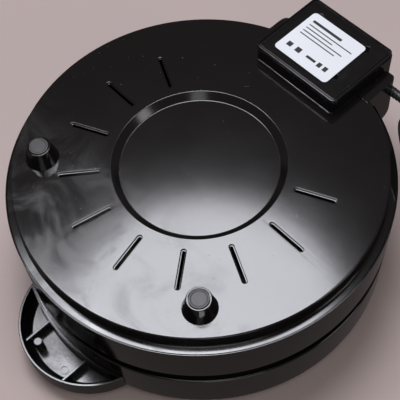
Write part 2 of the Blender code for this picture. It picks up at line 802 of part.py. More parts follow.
def box_screws(finish):
    tip_z = PANEL_Z - BURY - SCREW_TIP_LEFT
    head_z = BOX_HOLE_D - GAP - SCREW_HEAD_T
    for i, (x, y) in enumerate(box_screw_places(), 1):
        screw(
            f"box_cover_screw_{i}", (x, y, 0), head_z, tip_z, SCREW_R, SCREW_HEAD_R, SCREW_HEAD_T, finish
        )


def feet(finish, pad_finish, screw_finish):
    """Tapered posts with a rubber pad in the end and a long screw under the pad."""
    end = FOOT_END_ROUND
    seat_z = PAD_T + GAP
    pad_seat_r = PAD_R + GAP
    post = [
        (FOOT_SCREW_HOLE_R, PANEL_Z - GAP),
        (FOOT_ROOT_R, PANEL_Z - GAP),
        *arc((FOOT_END_R - end, FOOT_LIFT + end), end, 0, -math.pi / 2, 4),
        (pad_seat_r, FOOT_LIFT),
        (pad_seat_r, seat_z),
        (FOOT_BORE_R, seat_z),
        (FOOT_BORE_R, FOOT_BORE_D),
        (FOOT_SCREW_HOLE_R, FOOT_BORE_D),
    ]
    pad = [
        (0, PAD_T),
        (PAD_R, PAD_T),
        (PAD_R, PAD_DISH),
        (PAD_R - PAD_DISH, 0),
        (PAD_R - PAD_RIM, 0),
        (0, PAD_DISH),
    ]
    head_z = FOOT_BORE_D - GAP - SCREW_HEAD_T
    for side, word in ((-1, "left"), (1, "right")):
        at = foot_place(side)
        move(turned(f"front_foot_{word}", post, finish, steps=SMALL_SIDES), at)
        move(turned(f"foot_pad_{word}", pad, pad_finish, steps=MID_SIDES), at)
        screw(
            f"foot_screw_{word}",
            at,
            head_z,
            FOOT_SCREW_TIP_Z,
            FOOT_SCREW_R,
            SCREW_HEAD_R,
            SCREW_HEAD_T,
            screw_finish,
        )


def mirrored(profile):
    """The same section the other way up, about the middle of the air between the plates."""
    middle = PLATE_FACE_Z + PLATE_AIR / 2
    return [(r, 2 * middle - z) for r, z in reversed(profile)]


def plate_profile():
    under = PLATE_FACE_Z - PLATE_T
    skirt_z = BASE_TOP_Z - FLANGE_DROP + GAP
    inner_r = PLATE_R - PLATE_SKIRT_W
    return [
        (0, PLATE_FACE_Z),
        *arc((PLATE_R - PLATE_ROUND, PLATE_FACE_Z - PLATE_ROUND), PLATE_ROUND, math.pi / 2, 0, 2),
        (PLATE_R, skirt_z),
        (inner_r, skirt_z),
        (inner_r, under),
        (0, under),
    ]


def shield_profile():
    top = PLATE_FACE_Z - PLATE_T - GAP
    floor = top - SHIELD_D
    return [
        (0, floor + SHIELD_T),
        (SHIELD_FLOOR_R, floor + SHIELD_T),
        (SHIELD_RIM_R, top),
        (SHIELD_FLANGE_R, top),
        (SHIELD_FLANGE_R, top - SHIELD_T),
        (SHIELD_RIM_R + SHIELD_T, top - SHIELD_T),
        (SHIELD_FLOOR_R + SHIELD_T, floor),
        (0, floor),
    ]


def heater_path(way):
    """A ring open at the back, whose ends turn away from the plate. way is -1 below and +1 above."""
    under = PLATE_T + GAP + HEATER_R
    z = PLATE_FACE_Z - under if way < 0 else PLATE_FACE_Z + PLATE_AIR + under
    start, sweep = math.pi / 2 + HEATER_END_ANGLE, 2 * (math.pi - HEATER_END_ANGLE)
    ring = [
        Vector(
            (
                HEATER_RING_R * math.cos(start + sweep * i / HEATER_POINTS),
                HEATER_RING_R * math.sin(start + sweep * i / HEATER_POINTS),
                z,
            )
        )
        for i in range(HEATER_POINTS + 1)
    ]
    away = Vector((0, 0, way))
    ends = []
    for tip, inner in ((ring[0], ring[1]), (ring[-1], ring[-2])):
        out = (tip - inner).normalized()
        bend = [
            tip + out * HEATER_BEND * math.sin(a) + away * HEATER_BEND * (1 - math.cos(a))
            for a in (math.pi / 8, math.pi / 4, 3 * math.pi / 8, math.pi / 2)
        ]
        ends.append([*bend, bend[-1] + away * HEATER_LEAD])
    return [*reversed(ends[0]), *ring, *ends[1]]


def shield_screw_places():
    """Angles from the front, between the feet and the box."""
    return [math.pi * 2 * i / 3 for i in range(3)]


def cooking_half(word, way, looks):
    """A plate with its heater, shield, thermostat, fuse and shield screws, below or above the middle."""
    lower = way < 0
    settle = (lambda obj: obj) if lower else on_lid
    turn = (lambda profile: profile) if lower else mirrored
    middle = 2 * PLATE_FACE_Z + PLATE_AIR
    height = (lambda z: z) if lower else (lambda z: middle - z)
    under = PLATE_FACE_Z - PLATE_T

    plate = settle(turned(f"{word}_plate", turn(plate_profile()), looks["coating"]))
    if lower:
        for side, side_word in ((-1, "left"), (1, "right")):
            at = foot_place(side)
            post = cylinder(
                f"plate_post_{side_word}", (at.x, at.y, POST_MEET_Z + GAP), (at.x, at.y, under + BURY), POST_R
            )
            boolean(plate, post, "UNION")
            hole_end = FOOT_SCREW_TIP_Z + SCREW_TIP_LEFT
            hole = cylinder(
                f"plate_post_hole_{side_word}", (at.x, at.y, 0), (at.x, at.y, hole_end), FOOT_SCREW_HOLE_R
            )
            boolean(plate, hole)

    path = heater_path(way)
    settle(tube(f"{word}_heating_element", path, HEATER_R, looks["steel"]))
    shield = settle(
        turned(f"{word}_heat_shield", turn(shield_profile()), looks["steel"], steps=SHIELD_STEPS)
    )
    for i, tip in enumerate((path[0], path[-1]), 1):
        port = cylinder(
            f"{word}_port_{i}",
            (tip.x, tip.y, height(under)),
            (tip.x, tip.y, height(under - SHIELD_D - OVERRUN)),
            SHIELD_PORT_R,
        )
        boolean(shield, settle(port))

    # Shield screws, in blind holes of the plate
    head_z = under - GAP - SHIELD_T - GAP - SCREW_HEAD_T
    ring_r = (SHIELD_RIM_R + SHIELD_T + SHIELD_FLANGE_R) / 2
    for i, angle in enumerate(shield_screw_places(), 1):
        at = around_front(angle, ring_r, 0)
        hole = cylinder(
            f"{word}_shield_hole_{i}",
            (at.x, at.y, height(head_z)),
            (at.x, at.y, height(under + SHIELD_SCREW_D)),
            SCREW_HOLE_R,
            sides=FASTENER_SIDES,
        )
        settle(hole)
        boolean(shield, hole)
        boolean(plate, hole)
        head_r = (SHIELD_FLANGE_R - SHIELD_RIM_R - SHIELD_T) / 2 - GAP
        settle(
            screw(
                f"{word}_shield_screw_{i}",
                at,
                height(head_z),
                height(under + SHIELD_SCREW_D - GAP),
                SCREW_R,
                head_r,
                SCREW_HEAD_T,
                looks["zinc"],
            )
        )

    # Thermostat under the middle of the plate, and a thermal fuse beside it
    top = under - GAP
    sensor = [
        (0, top),
        (THERMOSTAT_EAR_R, top),
        (THERMOSTAT_EAR_R, top - THERMOSTAT_EAR_T),
        (THERMOSTAT_R, top - THERMOSTAT_EAR_T),
        (THERMOSTAT_R, top - THERMOSTAT_T),
        (0, top - THERMOSTAT_T),
    ]
    settle(turned(f"{word}_thermostat", turn(sensor), looks["ceramic"], steps=MID_SIDES))
    fuse_z = height(top - FUSE_R)
    settle(
        cylinder(
            f"{word}_thermal_fuse",
            (FUSE_X, -FUSE_L / 2, fuse_z),
            (FUSE_X, FUSE_L / 2, fuse_z),
            FUSE_R,
            looks["ceramic"],
            sides=FASTENER_SIDES,
        )
    )


def lid_housing(finish):
    """Plain round lid with a flange inside for the upper plate, and holes for the two lenses."""
    inner_r = BODY_R - WALL
    inner_round = LID_ROUND - WALL
    flange_z = 2 * PLATE_FACE_Z + PLATE_AIR - (BASE_TOP_Z - FLANGE_DROP)
    profile = [
        (0, LID_TOP_Z),
        *arc((BODY_R - LID_ROUND, LID_TOP_Z - LID_ROUND), LID_ROUND, math.pi / 2, 0, ROUND_POINTS),
        *arc((BODY_R - RIM_ROUND, LID_BOTTOM_Z + RIM_ROUND), RIM_ROUND, 0, -math.pi / 2, 2),
        (inner_r, LID_BOTTOM_Z),
        (inner_r, flange_z),
        (FLANGE_IN_R, flange_z),
        (FLANGE_IN_R, flange_z + FLANGE_T),
        (inner_r, flange_z + FLANGE_T),
        *arc((BODY_R - LID_ROUND, LID_TOP_Z - LID_ROUND), inner_round, 0, math.pi / 2, INNER_ROUND_POINTS),
        (0, LID_TOP_Z - WALL),
    ]
    lid = on_lid(turned("lid_housing", profile, finish))
    for side, word in ((-1, "left"), (1, "right")):
        start = (side * LENS_X, LENS_Y, LID_TOP_Z - WALL - OVERRUN)
        end = (side * LENS_X, LENS_Y, LID_TOP_Z + OVERRUN)
        boolean(lid, on_lid(cylinder(f"lens_hole_{word}", start, end, LENS_R + GAP)))
    return lid


def lenses(looks):
    """Two light lenses in the lid's top, with the board of the lamps under them."""
    under = LID_TOP_Z - WALL - GAP
    profile = [
        (0, LID_TOP_Z + LENS_RISE),
        (LENS_R - LENS_RISE, LID_TOP_Z + LENS_RISE),
        (LENS_R, LID_TOP_Z),
        (LENS_R, under),
        (LENS_FLANGE_R, under),
        (LENS_FLANGE_R, under - LENS_FLANGE_T),
        (0, under - LENS_FLANGE_T),
    ]
    for side, word, finish in ((-1, "power", looks["red"]), (1, "ready", looks["green"])):
        lens = turned(f"{word}_lens", profile, finish, steps=MID_SIDES)
        on_lid(move(lens, (side * LENS_X, LENS_Y, 0)))
    board_top = under - LENS_FLANGE_T - GAP
    low = (-LAMP_BOARD_HALF_X, LENS_Y - LAMP_BOARD_HALF_Y, board_top - LAMP_BOARD_T)
    on_lid(block("lamp_board", low, (LAMP_BOARD_HALF_X, LENS_Y + LAMP_BOARD_HALF_Y, board_top), looks["board"]))


def lid_handle(finish):
    """Round handle cut by the lid's wall, hollow and open downwards, with two ribs and a peg."""
    handle = cylinder(
        "lid_handle",
        (0, HANDLE_Y, HANDLE_RIM_Z),
        (0, HANDLE_Y, HANDLE_TOP_Z),
        HANDLE_R,
        finish,
        sides=HANDLE_SIDES,
    )
    on_lid(handle)
    rounded(handle, HANDLE_TOP_ROUND)
    handle.modifiers["Rounded edges"].limit_method = "WEIGHT"
    weights = handle.data.attributes.new("bevel_weight_edge", "FLOAT", "EDGE")
    for edge in handle.data.edges:
        tops = [handle.data.vertices[i].co.z > HANDLE_FLOOR_Z for i in edge.vertices]
        weights.data[edge.index].value = float(all(tops))
    low_z, high_z = HANDLE_RIM_Z - OVERRUN, HANDLE_TOP_Z + OVERRUN
    wall_r = BODY_R + GAP
    lid_shape = turned("lid_round", [(0, high_z), (wall_r, high_z), (wall_r, low_z), (0, low_z)])
    boolean(handle, on_lid(lid_shape))

    # The hollow narrows towards its floor
    depth_share = (HANDLE_FLOOR_Z - low_z) / (HANDLE_FLOOR_Z - HANDLE_RIM_Z)
    mouth_r = HANDLE_FLOOR_R + (HANDLE_R - HANDLE_WALL - HANDLE_FLOOR_R) * depth_share
    hollow = cylinder(
        "handle_hollow",
        (0, HANDLE_Y, low_z),
        (0, HANDLE_Y, HANDLE_FLOOR_Z),
        mouth_r,
        end_radius=HANDLE_FLOOR_R,
        sides=HANDLE_SIDES,
    )
    back_r = wall_r + HANDLE_BACK_WALL
    back = turned("handle_back", [(0, high_z), (back_r, high_z), (back_r, low_z - OVERRUN), (0, low_z - OVERRUN)])
    boolean(on_lid(hollow), on_lid(back))
    boolean(handle, hollow)

    back_mid_r = wall_r + HANDLE_BACK_WALL / 2
    for side, word in ((-1, "left"), (1, "right")):
        x = side * RIB_X
        rear_y = -math.sqrt(back_mid_r**2 - RIB_X**2)
        front_y = HANDLE_Y - math.sqrt((HANDLE_R - HANDLE_WALL / 2) ** 2 - (RIB_X + RIB_T) ** 2)
        rib = block(
            f"rib_{word}_solid",
            (x - RIB_T / 2, front_y, RIB_EDGE_Z),
            (x + RIB_T / 2, rear_y, HANDLE_FLOOR_Z + BURY),
        )
        boolean(handle, on_lid(rib), "UNION")
    peg = cylinder(
        "peg_solid", (PEG_X, PEG_Y, PEG_END_Z), (PEG_X, PEG_Y, HANDLE_FLOOR_Z + BURY), PEG_R, sides=SMALL_SIDES
    )
    boolean(handle, on_lid(peg), "UNION")
    return handle


def handle_screws(lid, handle, finish):
    """Short screws from inside the lid into the handle's back wall."""
    inner_r = BODY_R - WALL
    head_r = inner_r - GAP - SCREW_HEAD_T
    tip_r = BODY_R + GAP + HANDLE_BACK_WALL / 2
    for side, word in ((-1, "left"), (1, "right")):
        angle = side * HANDLE_SCREW_ANGLE
        out = around_front(angle, 1, 0)
        z = Vector((0, 0, HANDLE_SCREW_Z))
        hole = cylinder(
            f"handle_screw_hole_{word}",
            out * (head_r - OVERRUN) + z,
            out * (tip_r + GAP) + z,
            SCREW_HOLE_R,
            sides=FASTENER_SIDES,
        )
        on_lid(hole)
        boolean(lid, hole)
        boolean(handle, hole)
        turn = out.to_track_quat("Z", "Y").to_matrix().to_4x4()
        made = screw(
            f"handle_screw_{word}", z, head_r, tip_r, SCREW_R, SCREW_HEAD_R, SCREW_HEAD_T, finish, turn
        )
        on_lid(made)


def hinge(finish, pin_finish):
    """Two arms on the lid's rear wall, each on a pin that the ear beside it holds."""
    arm_out_x = EAR_IN_X - GAP
    arm_in_x = arm_out_x - ARM_W
    back_y = HINGE_Y + ARM_BACK
    seat_y = HINGE_Y - ARM_R
    outline = [
        (back_y, HINGE_Z),
        (back_y, ARM_TOP_Z - ARM_R),
        (back_y - ARM_R / 2, ARM_TOP_Z),
        (EAR_TOP_ROOT_Y, ARM_TOP_Z),
        (EAR_TOP_ROOT_Y, ARM_FOOT_Z),
        (seat_y, ARM_FOOT_Z - ARM_R),
        *arc((HINGE_Y, HINGE_Z), ARM_R, math.pi, 3 * math.pi / 2, CORNER_POINTS + 1),
        *arc((HINGE_Y, HINGE_Z), ARM_R, 3 * math.pi / 2 + math.pi / 8, 2 * math.pi - math.pi / 6, CORNER_POINTS),
    ]
    high_z, low_z = ARM_TOP_Z + OVERRUN, HINGE_Z - ARM_R - OVERRUN
    lid_r = BODY_R + GAP
    for side, word in ((-1, "left"), (1, "right")):
        low_x, high_x = sorted((side * arm_in_x, side * arm_out_x))
        arm = on_lid(slab(f"lid_hinge_arm_{word}", outline, low_x, high_x, finish, along="X"))
        lid_shape = turned(
            f"lid_wall_{word}", [(0, high_z), (lid_r, high_z), (lid_r, low_z), (0, low_z)]
        )
        boolean(arm, on_lid(lid_shape))
        bore = cylinder(
            f"arm_bore_{word}",
            (low_x - OVERRUN, HINGE_Y, HINGE_Z),
            (high_x + OVERRUN, HINGE_Y, HINGE_Z),
            PIN_BORE_R,
        )
        boolean(arm, on_lid(bore))
        cylinder(
            f"hinge_pin_{word}",
            (side * arm_in_x, HINGE_Y, HINGE_Z),
            (side * (EAR_OUT_X - PIN_SKIN - GAP), HINGE_Y, HINGE_Z),
            PIN_R,
            pin_finish,
        )


def supply(looks):
    """Strain relief in the block's wall, terminal block in the box, and the leads between."""
    wall_out = -BLOCK_HALF_W
    profile = [
        (0, RELIEF_L + GAP),
        (RELIEF_END_R, RELIEF_L + GAP),
        (RELIEF_ROOT_R, GAP),
        (RELIEF_NECK_R, GAP),
        (RELIEF_NECK_R, -WALL - GAP),
        (RELIEF_HEAD_R, -WALL - GAP),
        (RELIEF_HEAD_R, -WALL - GAP - RELIEF_HEAD_T),
        (0, -WALL - GAP - RELIEF_HEAD_T),
    ]
    relief = turned("cord_strain_relief", profile, looks["satin"], steps=MID_SIDES)
    outwards = Vector((-1, 0, 0)).to_track_quat("Z", "Y").to_matrix().to_4x4()
    relief.data.transform(Matrix.Translation((wall_out, EXIT_Y, EXIT_Z)) @ outwards)

    top = PANEL_Z - GAP
    terminal = block(
        "terminal_block",
        (-TERMINAL_HALF_X, TERMINAL_FRONT_Y, top - TERMINAL_H),
        (TERMINAL_HALF_X, TERMINAL_BACK_Y, top),
        looks["ceramic"],
    )
    rounded(terminal, TERMINAL_ROUND)

    inner_x = wall_out + WALL + GAP + RELIEF_HEAD_T + GAP
    mid_z = top - TERMINAL_H / 2
    heater_tip = heater_path(-1)[0]
    for side, word in ((-1, "live"), (1, "neutral")):
        spread = side * LEAD_SPREAD
        start = Vector((inner_x, EXIT_Y + side * LEAD_R * 2, EXIT_Z))
        end = Vector((spread, TERMINAL_BACK_Y + GAP, mid_z))
        # Along the back wall past the boss, then down and forward to the terminals
        route = [
            start,
            (inner_x * 4 / 5, start.y, EXIT_Z),
            (inner_x * 2 / 5, start.y, (EXIT_Z + mid_z) / 2),
            (spread + inner_x / 9, (start.y + end.y) / 2, mid_z),
            end + Vector((0, TERMINAL_ROUND * 4, 0)),
            end,
        ]
        tube(f"supply_wire_{word}", smooth_path(route, LEAD_R * 4), LEAD_R, looks["wire"], 1)

        tip = Vector((side * abs(heater_tip.x), heater_tip.y, heater_tip.z - GAP))
        first = Vector((spread, TERMINAL_FRONT_Y - GAP, mid_z))
        port_y = WIRE_HOLE_Y
        route = [
            first,
            first - Vector((0, TERMINAL_ROUND * 4, 0)),
            (spread * 3 / 4, port_y, PANEL_Z + WALL),
            (spread, port_y, PANEL_Z + WALL + POST_R),
            ((spread + tip.x) / 2, (port_y + tip.y) / 2, (PANEL_Z + tip.z) / 2),
            tip - Vector((0, 0, POST_R)),
            tip,
        ]
        tube(f"heater_wire_{word}", smooth_path(route, LEAD_R * 5), LEAD_R, looks["wire"], 1)


def coil_path():
    """Turns that spiral in on the surface, climb in the half turn where they reverse, and spiral out again."""
    low_z = CORD_R + COIL_LIFT
    turns = COIL_TURNS_IN + COIL_TURNS_OUT
    count = round(turns * COIL_POINTS_PER_TURN)
    outer_r = COIL_MEAN_R + COIL_STEP * COIL_TURNS_IN / 2
    path = []
    for i in range(count + 1):
        turn = turns * i / count
        depth = min(turn, turns - turn)
        climb = min(1, max(0, (turn - COIL_TURNS_IN) * 2 + 0.5))
        radius = outer_r - COIL_STEP * depth
        angle = -math.pi / 2 - 2 * math.pi * turn
        path.append(
            Vector(
                (
                    COIL_X + radius * math.cos(angle),
                    COIL_Y + radius * math.sin(angle),
                    low_z + COIL_STEP * climb * climb * (3 - 2 * climb),
                )
            )
        )
    return path


# The free stretch, from the strain relief to the coil, in metres
CORD_ROUTE = (
    (-0.0685, 0.1752, 0.0360),
    (-0.0755, 0.1749, 0.0358),
    (-0.0825, 0.1719, 0.0338),
    (-0.0877, 0.1664, 0.0298),
    (-0.0905, 0.1608, 0.0244),
    (-0.0915, 0.1541, 0.0187),
    (-0.0918, 0.1478, 0.0136),
    (-0.0924, 0.1423, 0.0092),
    (-0.0943, 0.1366, 0.0062),
    (-0.0985, 0.1307, 0.0048),
    (-0.1047, 0.1245, 0.0045),
    (-0.1120, 0.1183, 0.0046),
    (-0.1200, 0.1125, 0.0047),
    (-0.1285, 0.1077, 0.0047),
    (-0.1440, 0.1043, 0.0047),
)


def cord_and_plug(looks):
    """The free stretch of the cord, its coil with the tail to the plug, and the plug."""
    coil = coil_path()
    start = coil[0] + Vector((CORD_R * 2, 0, 0))
    meet = start + Vector((GAP, 0, 0))
    free = smooth_path([*CORD_ROUTE, meet], CORD_R * 4)
    tube("power_cord", free, CORD_R, looks["cord"])

    # The tail leaves the top turn, comes down beside the coil and meets the plug
    last = coil[-1]
    heading = (coil[-1] - coil[-2]).normalized()
    heading.z = 0
    heading.normalize()
    plug_z = PLUG_FLAT / 2 + CORD_LIFT
    fall = last.z - plug_z
    tail_end = last + heading * (CORD_R * 14) - Vector((0, 0, fall))
    tail = [
        last,
        last + heading * (CORD_R * 4) - Vector((0, 0, fall / 8)),
        last + heading * (CORD_R * 10) - Vector((0, 0, fall * 7 / 8)),
        tail_end - heading * (CORD_R * 2),
        tail_end,
    ]
    tail_points = smooth_path(tail, CORD_R * 4)
    wound = [start, *coil[:-1], *tail_points]
    tube("cord_coil", wound, CORD_R, looks["cord"], resolution=1)

    least = min(
        (a - b).length
        for i, a in enumerate(wound)
        for b in wound[i + COIL_POINTS_PER_TURN // 2 :]
    )
    print(f"cord: free {length_of(free):.3f} m, coil and tail {length_of(wound):.3f} m")
    print(f"coil: least gap between turns {(least - 2 * CORD_R) * 1000:.2f} mm")

    # Tie round the turns
    across = Vector((math.cos(TIE_ANGLE), math.sin(TIE_ANGLE), 0))
    near = [p for p in coil if (p - Vector((COIL_X, COIL_Y, p.z))).normalized().dot(across) > 0.9]
    reach = [(p - Vector((COIL_X, COIL_Y, 0))).dot(across) for p in near]
    low_r, high_r = min(reach), max((p - Vector((COIL_X, COIL_Y, p.z))).length for p in near)
    half = (high_r - low_r) / 2 + CORD_R + TIE_ROOM
    top_z = COIL_LIFT + COIL_STEP + 2 * CORD_R + TIE_ROOM
    outer = rounded_rectangle(half + TIE_T, CORD_LIFT, top_z + TIE_T, TIE_CORNER_R + TIE_T)
    inner = rounded_rectangle(half, CORD_LIFT + TIE_T, top_z, TIE_CORNER_R)
    tie = slab("coil_tie", outer, -TIE_W / 2, TIE_W / 2, looks["satin"])
    boolean(tie, slab("tie_inside", inner, -TIE_W, TIE_W))
    stand = Matrix.Rotation(TIE_ANGLE, 4, "Z") @ Matrix.Rotation(math.pi / 2, 4, "X")
    middle = Vector((COIL_X, COIL_Y, 0)) + across * (low_r + high_r) / 2
    for piece in (tie, bpy.data.objects["tie_inside"]):
        piece.data.transform(Matrix.Translation(middle) @ stand)

    root = tail_end + heading * GAP
    along = heading
    turn = along.to_track_quat("Z", "Y").to_matrix().to_4x4()
    profile = [
        (0, PLUG_TAIL_L + PLUG_L),
        (PLUG_R - PLUG_TAIL_R / 4, PLUG_TAIL_L + PLUG_L),
        (PLUG_R, PLUG_TAIL_L + PLUG_L - PLUG_TAIL_R / 4),
        (PLUG_R, PLUG_TAIL_L + PLUG_R),
        (PLUG_TAIL_R + PLUG_TAIL_R / 4, PLUG_TAIL_L),
        (PLUG_TAIL_R, 0),
        (0, 0),
    ]
    plug = turned("plug", profile, looks["cord"], steps=MID_SIDES)
    # Wider across the pins than it is thick
    widen = Matrix.Diagonal(((PLUG_PIN_SPACING / 2 + PLUG_PIN_R * 3) / PLUG_R, PLUG_FLAT / 2 / PLUG_R, 1, 1))
    narrow_z = PLUG_TAIL_L / 2
    for vertex in plug.data.vertices:
        if vertex.co.z > narrow_z:
            vertex.co = widen @ vertex.co
    plug.data.transform(Matrix.Translation(root) @ turn)
    across = turn.to_3x3() @ Vector((1, 0, 0))
    for way, word in ((-1, "left"), (1, "right")):
        face = root + along * (PLUG_TAIL_L + PLUG_L) + across * (way * PLUG_PIN_SPACING / 2)
        pin_root = face - along * PLUG_PIN_ROOT
        hole = cylinder(f"pin_socket_{word}", pin_root, face + along * OVERRUN, PLUG_PIN_R + GAP)
        boolean(plug, hole)
        tip = face + along * PLUG_PIN_L
        cylinder(f"plug_pin_{word}", pin_root + along * GAP, tip, PLUG_PIN_R, looks["steel"])


clear_scene()
parts = new_collection("tortilla_maker")
cutters = new_collection("cutters")
frames = {}
frames["base"] = empty("base_frame", (0, AXIS_Y, 0))
frames["lid"] = empty("lid_hinge_frame", (0, HINGE_Y, HINGE_Z), frames["base"])

LOOKS = make_looks()
INSIDE = core()
base_housing(LOOKS["gloss"], INSIDE)
bottom_cover(LOOKS["gloss"])
box_cover(LOOKS["gloss"])
rating_label(LOOKS["label"])
box_screws(LOOKS["zinc"])
feet(LOOKS["gloss"], LOOKS["rubber"], LOOKS["zinc"])
cooking_half("lower", -1, LOOKS)
cooking_half("upper", 1, LOOKS)
LID = lid_housing(LOOKS["gloss"])
HANDLE = lid_handle(LOOKS["gloss"])
handle_screws(LID, HANDLE, LOOKS["zinc"])
lenses(LOOKS)
hinge(LOOKS["gloss"], LOOKS["steel"])
supply(LOOKS)
cord_and_plug(LOOKS)
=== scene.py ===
import json
import math

import bpy
import bmesh
import numpy as np
from mathutils import Matrix, Vector


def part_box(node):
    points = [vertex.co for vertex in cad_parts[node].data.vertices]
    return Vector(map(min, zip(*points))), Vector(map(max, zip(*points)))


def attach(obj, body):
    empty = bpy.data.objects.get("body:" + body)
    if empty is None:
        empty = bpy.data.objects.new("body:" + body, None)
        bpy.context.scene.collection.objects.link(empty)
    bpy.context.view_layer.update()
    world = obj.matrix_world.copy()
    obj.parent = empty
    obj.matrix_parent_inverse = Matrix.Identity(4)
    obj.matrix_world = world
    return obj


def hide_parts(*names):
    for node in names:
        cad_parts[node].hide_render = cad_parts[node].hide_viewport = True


# Looks of a round tortilla maker, seen from below as in the photo. Metres, in the frame of the CAD model
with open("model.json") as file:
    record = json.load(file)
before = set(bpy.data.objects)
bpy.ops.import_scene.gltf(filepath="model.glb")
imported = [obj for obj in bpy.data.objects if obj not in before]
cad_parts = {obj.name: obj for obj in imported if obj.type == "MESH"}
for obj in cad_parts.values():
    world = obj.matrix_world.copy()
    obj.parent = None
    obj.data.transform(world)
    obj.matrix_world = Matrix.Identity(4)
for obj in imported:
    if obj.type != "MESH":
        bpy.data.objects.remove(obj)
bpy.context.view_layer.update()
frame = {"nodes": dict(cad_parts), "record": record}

# Places and sizes read from the CAD model
plateLow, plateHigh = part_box("lower_plate")
axisY = (plateLow.y + plateHigh.y) / 2  # axis of the round body
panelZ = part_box("bottom_cover")[0].z
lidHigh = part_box("lid_housing")[1]
bodyR = lidHigh.x
sideFaces = 256  # round the whole body
sides = ((-1, "Left"), (1, "Right"))


# Camera and cord

def newObject(name, data):
    made = bpy.data.objects.new(name, data)
    bpy.context.scene.collection.objects.link(made)
    return made


camera = newObject("photoCamera", bpy.data.cameras.new("photoCamera"))
bpy.context.scene.camera = camera
view = {
    "place": (-0.3105, -0.2434, -0.5827),
    "forward": (0.4053, 0.3212, 0.8559),
    "up": (0.6059, 0.6067, -0.5147),
    "focalPixels": 892.3,
    "imagePixels": 400,
}
camera.data.sensor_width = 36
camera.data.lens = view["focalPixels"] / view["imagePixels"] * camera.data.sensor_width
camera.data.clip_start = 0.01
camera.data.clip_end = 20
back = -Vector(view["forward"]).normalized()
right = Vector(view["up"]).cross(back).normalized()
turned = Matrix((right, back.cross(right), back)).transposed().to_4x4()
camera.matrix_world = Matrix.Translation(view["place"]) @ turned


def wovenCurve(points, spacing):
    # A smooth curve through the points: each stretch is a cubic of its two ends and their neighbours
    p = np.asarray(points, float)
    ends = np.vstack([2 * p[0] - p[1], p, 2 * p[-1] - p[-2]])
    path = []
    for i in range(1, len(ends) - 2):
        before, start, end, after = ends[i - 1 : i + 3]
        count = max(2, int(round(np.linalg.norm(end - start) / spacing)))
        t = (np.arange(count) / count)[:, None]
        square = (2 * before - 5 * start + 4 * end - after) * t**2
        cube = (3 * start - before - 3 * end + after) * t**3
        path.append((2 * start + (end - before) * t + square + cube) / 2)
    return np.vstack(path + [p[-1:]])


cordSizes = {
    "radius": 0.0035,
    "exit": (-0.0454, 0.1752 + axisY, 0.036),
    "gap": 0.0003,
    "step": 0.003,
    "coilX": -0.164,
    "coilY": 0.15 + axisY,
    "coilMeanR": 0.0388,
    "coilStep": 0.0077,
    "coilTurns": 3.25,
    "coilLift": 0.0015,
    "pointsPerTurn": 48,
    "plugFlat": 0.0135,
    "plugTailL": 0.014,
    "plugL": 0.036,
    "tieAngle": math.radians(45),
}
# From the strain relief to the coil, in the round body's own frame, as in the CAD model
cordRoute = (
    (-0.0685, 0.1752, 0.0360), (-0.0755, 0.1749, 0.0358), (-0.0825, 0.1719, 0.0338),
    (-0.0877, 0.1664, 0.0298), (-0.0905, 0.1608, 0.0244), (-0.0915, 0.1541, 0.0187),
    (-0.0918, 0.1478, 0.0136), (-0.0924, 0.1423, 0.0092), (-0.0943, 0.1366, 0.0062),
    (-0.0985, 0.1307, 0.0048), (-0.1047, 0.1245, 0.0045), (-0.1120, 0.1183, 0.0046),
    (-0.1200, 0.1125, 0.0047), (-0.1285, 0.1077, 0.0047), (-0.1440, 0.1043, 0.0047),
)


def coilPoints(s):
    # The radius falls by one step a turn and grows again, and the height climbs in the half turn between
    count = int(s["coilTurns"] * s["pointsPerTurn"])
    turn = np.linspace(0, s["coilTurns"], count + 1)
    half = s["coilTurns"] / 2
    depth = np.minimum(turn, s["coilTurns"] - turn)
    climb = np.clip((turn - half) * 2 + 0.5, 0, 1)
    radius = s["coilMeanR"] + s["coilStep"] * half / 2 - s["coilStep"] * depth
    angle = -math.pi / 2 - 2 * math.pi * turn
    height = s["radius"] + s["coilLift"] + s["coilStep"] * climb * climb * (3 - 2 * climb)
    return np.stack([s["coilX"] + radius * np.cos(angle), s["coilY"] + radius * np.sin(angle), height], 1)


def cordPath(s):
    # The free stretch, the coil, and a tail that comes down beside it to the plug
    coil = coilPoints(s)
    route = np.array(cordRoute) + (0, axisY, 0)
    start = np.array([[s["exit"][0] - 0.016, s["exit"][1], s["exit"][2]]])
    meet = coil[:1] + (2 * s["radius"] + s["gap"], 0, 0)
    free = wovenCurve(np.vstack([start, route, meet]), s["step"])
    heading = coil[-1] - coil[-1 - s["pointsPerTurn"] // 24]
    heading[2] = 0
    heading /= np.linalg.norm(heading)
    fall = np.array([0, 0, coil[-1, 2] - s["plugFlat"] / 2 - s["gap"]])
    reach = s["radius"] * heading
    end = coil[-1] + reach * 14 - fall
    bends = [coil[-1], coil[-1] + reach * 4 - fall / 8, coil[-1] + reach * 10 - fall * 7 / 8]
    tail = wovenCurve([*bends, end - reach * 2, end], s["step"])
    return np.vstack([free[:-1], coil[:-1], tail]), end, heading


cordLine, plugRoot, plugHeading = cordPath(cordSizes)
cordCurve = bpy.data.curves.new("mainsCord", "CURVE")
cordCurve.dimensions = "3D"
cordCurve.bevel_depth = cordSizes["radius"]
cordCurve.bevel_resolution = 6
cordCurve.use_fill_caps = True
cordSpline = cordCurve.splines.new("POLY")
cordSpline.points.add(len(cordLine) - 1)
cordSpline.points.foreach_set("co", np.hstack([cordLine, np.ones((len(cordLine), 1))]).ravel())
cordSpline.use_smooth = True
mainsCord = newObject("mainsCord", cordCurve)


# Tools for surfaces

def arc(centre, radius, start, end, count):
    # Points (u, v) round a centre, from one angle to another in degrees
    a = np.radians(np.linspace(start, end, count))
    return np.stack([centre[0] + radius * np.cos(a), centre[1] + radius * np.sin(a)], 1)


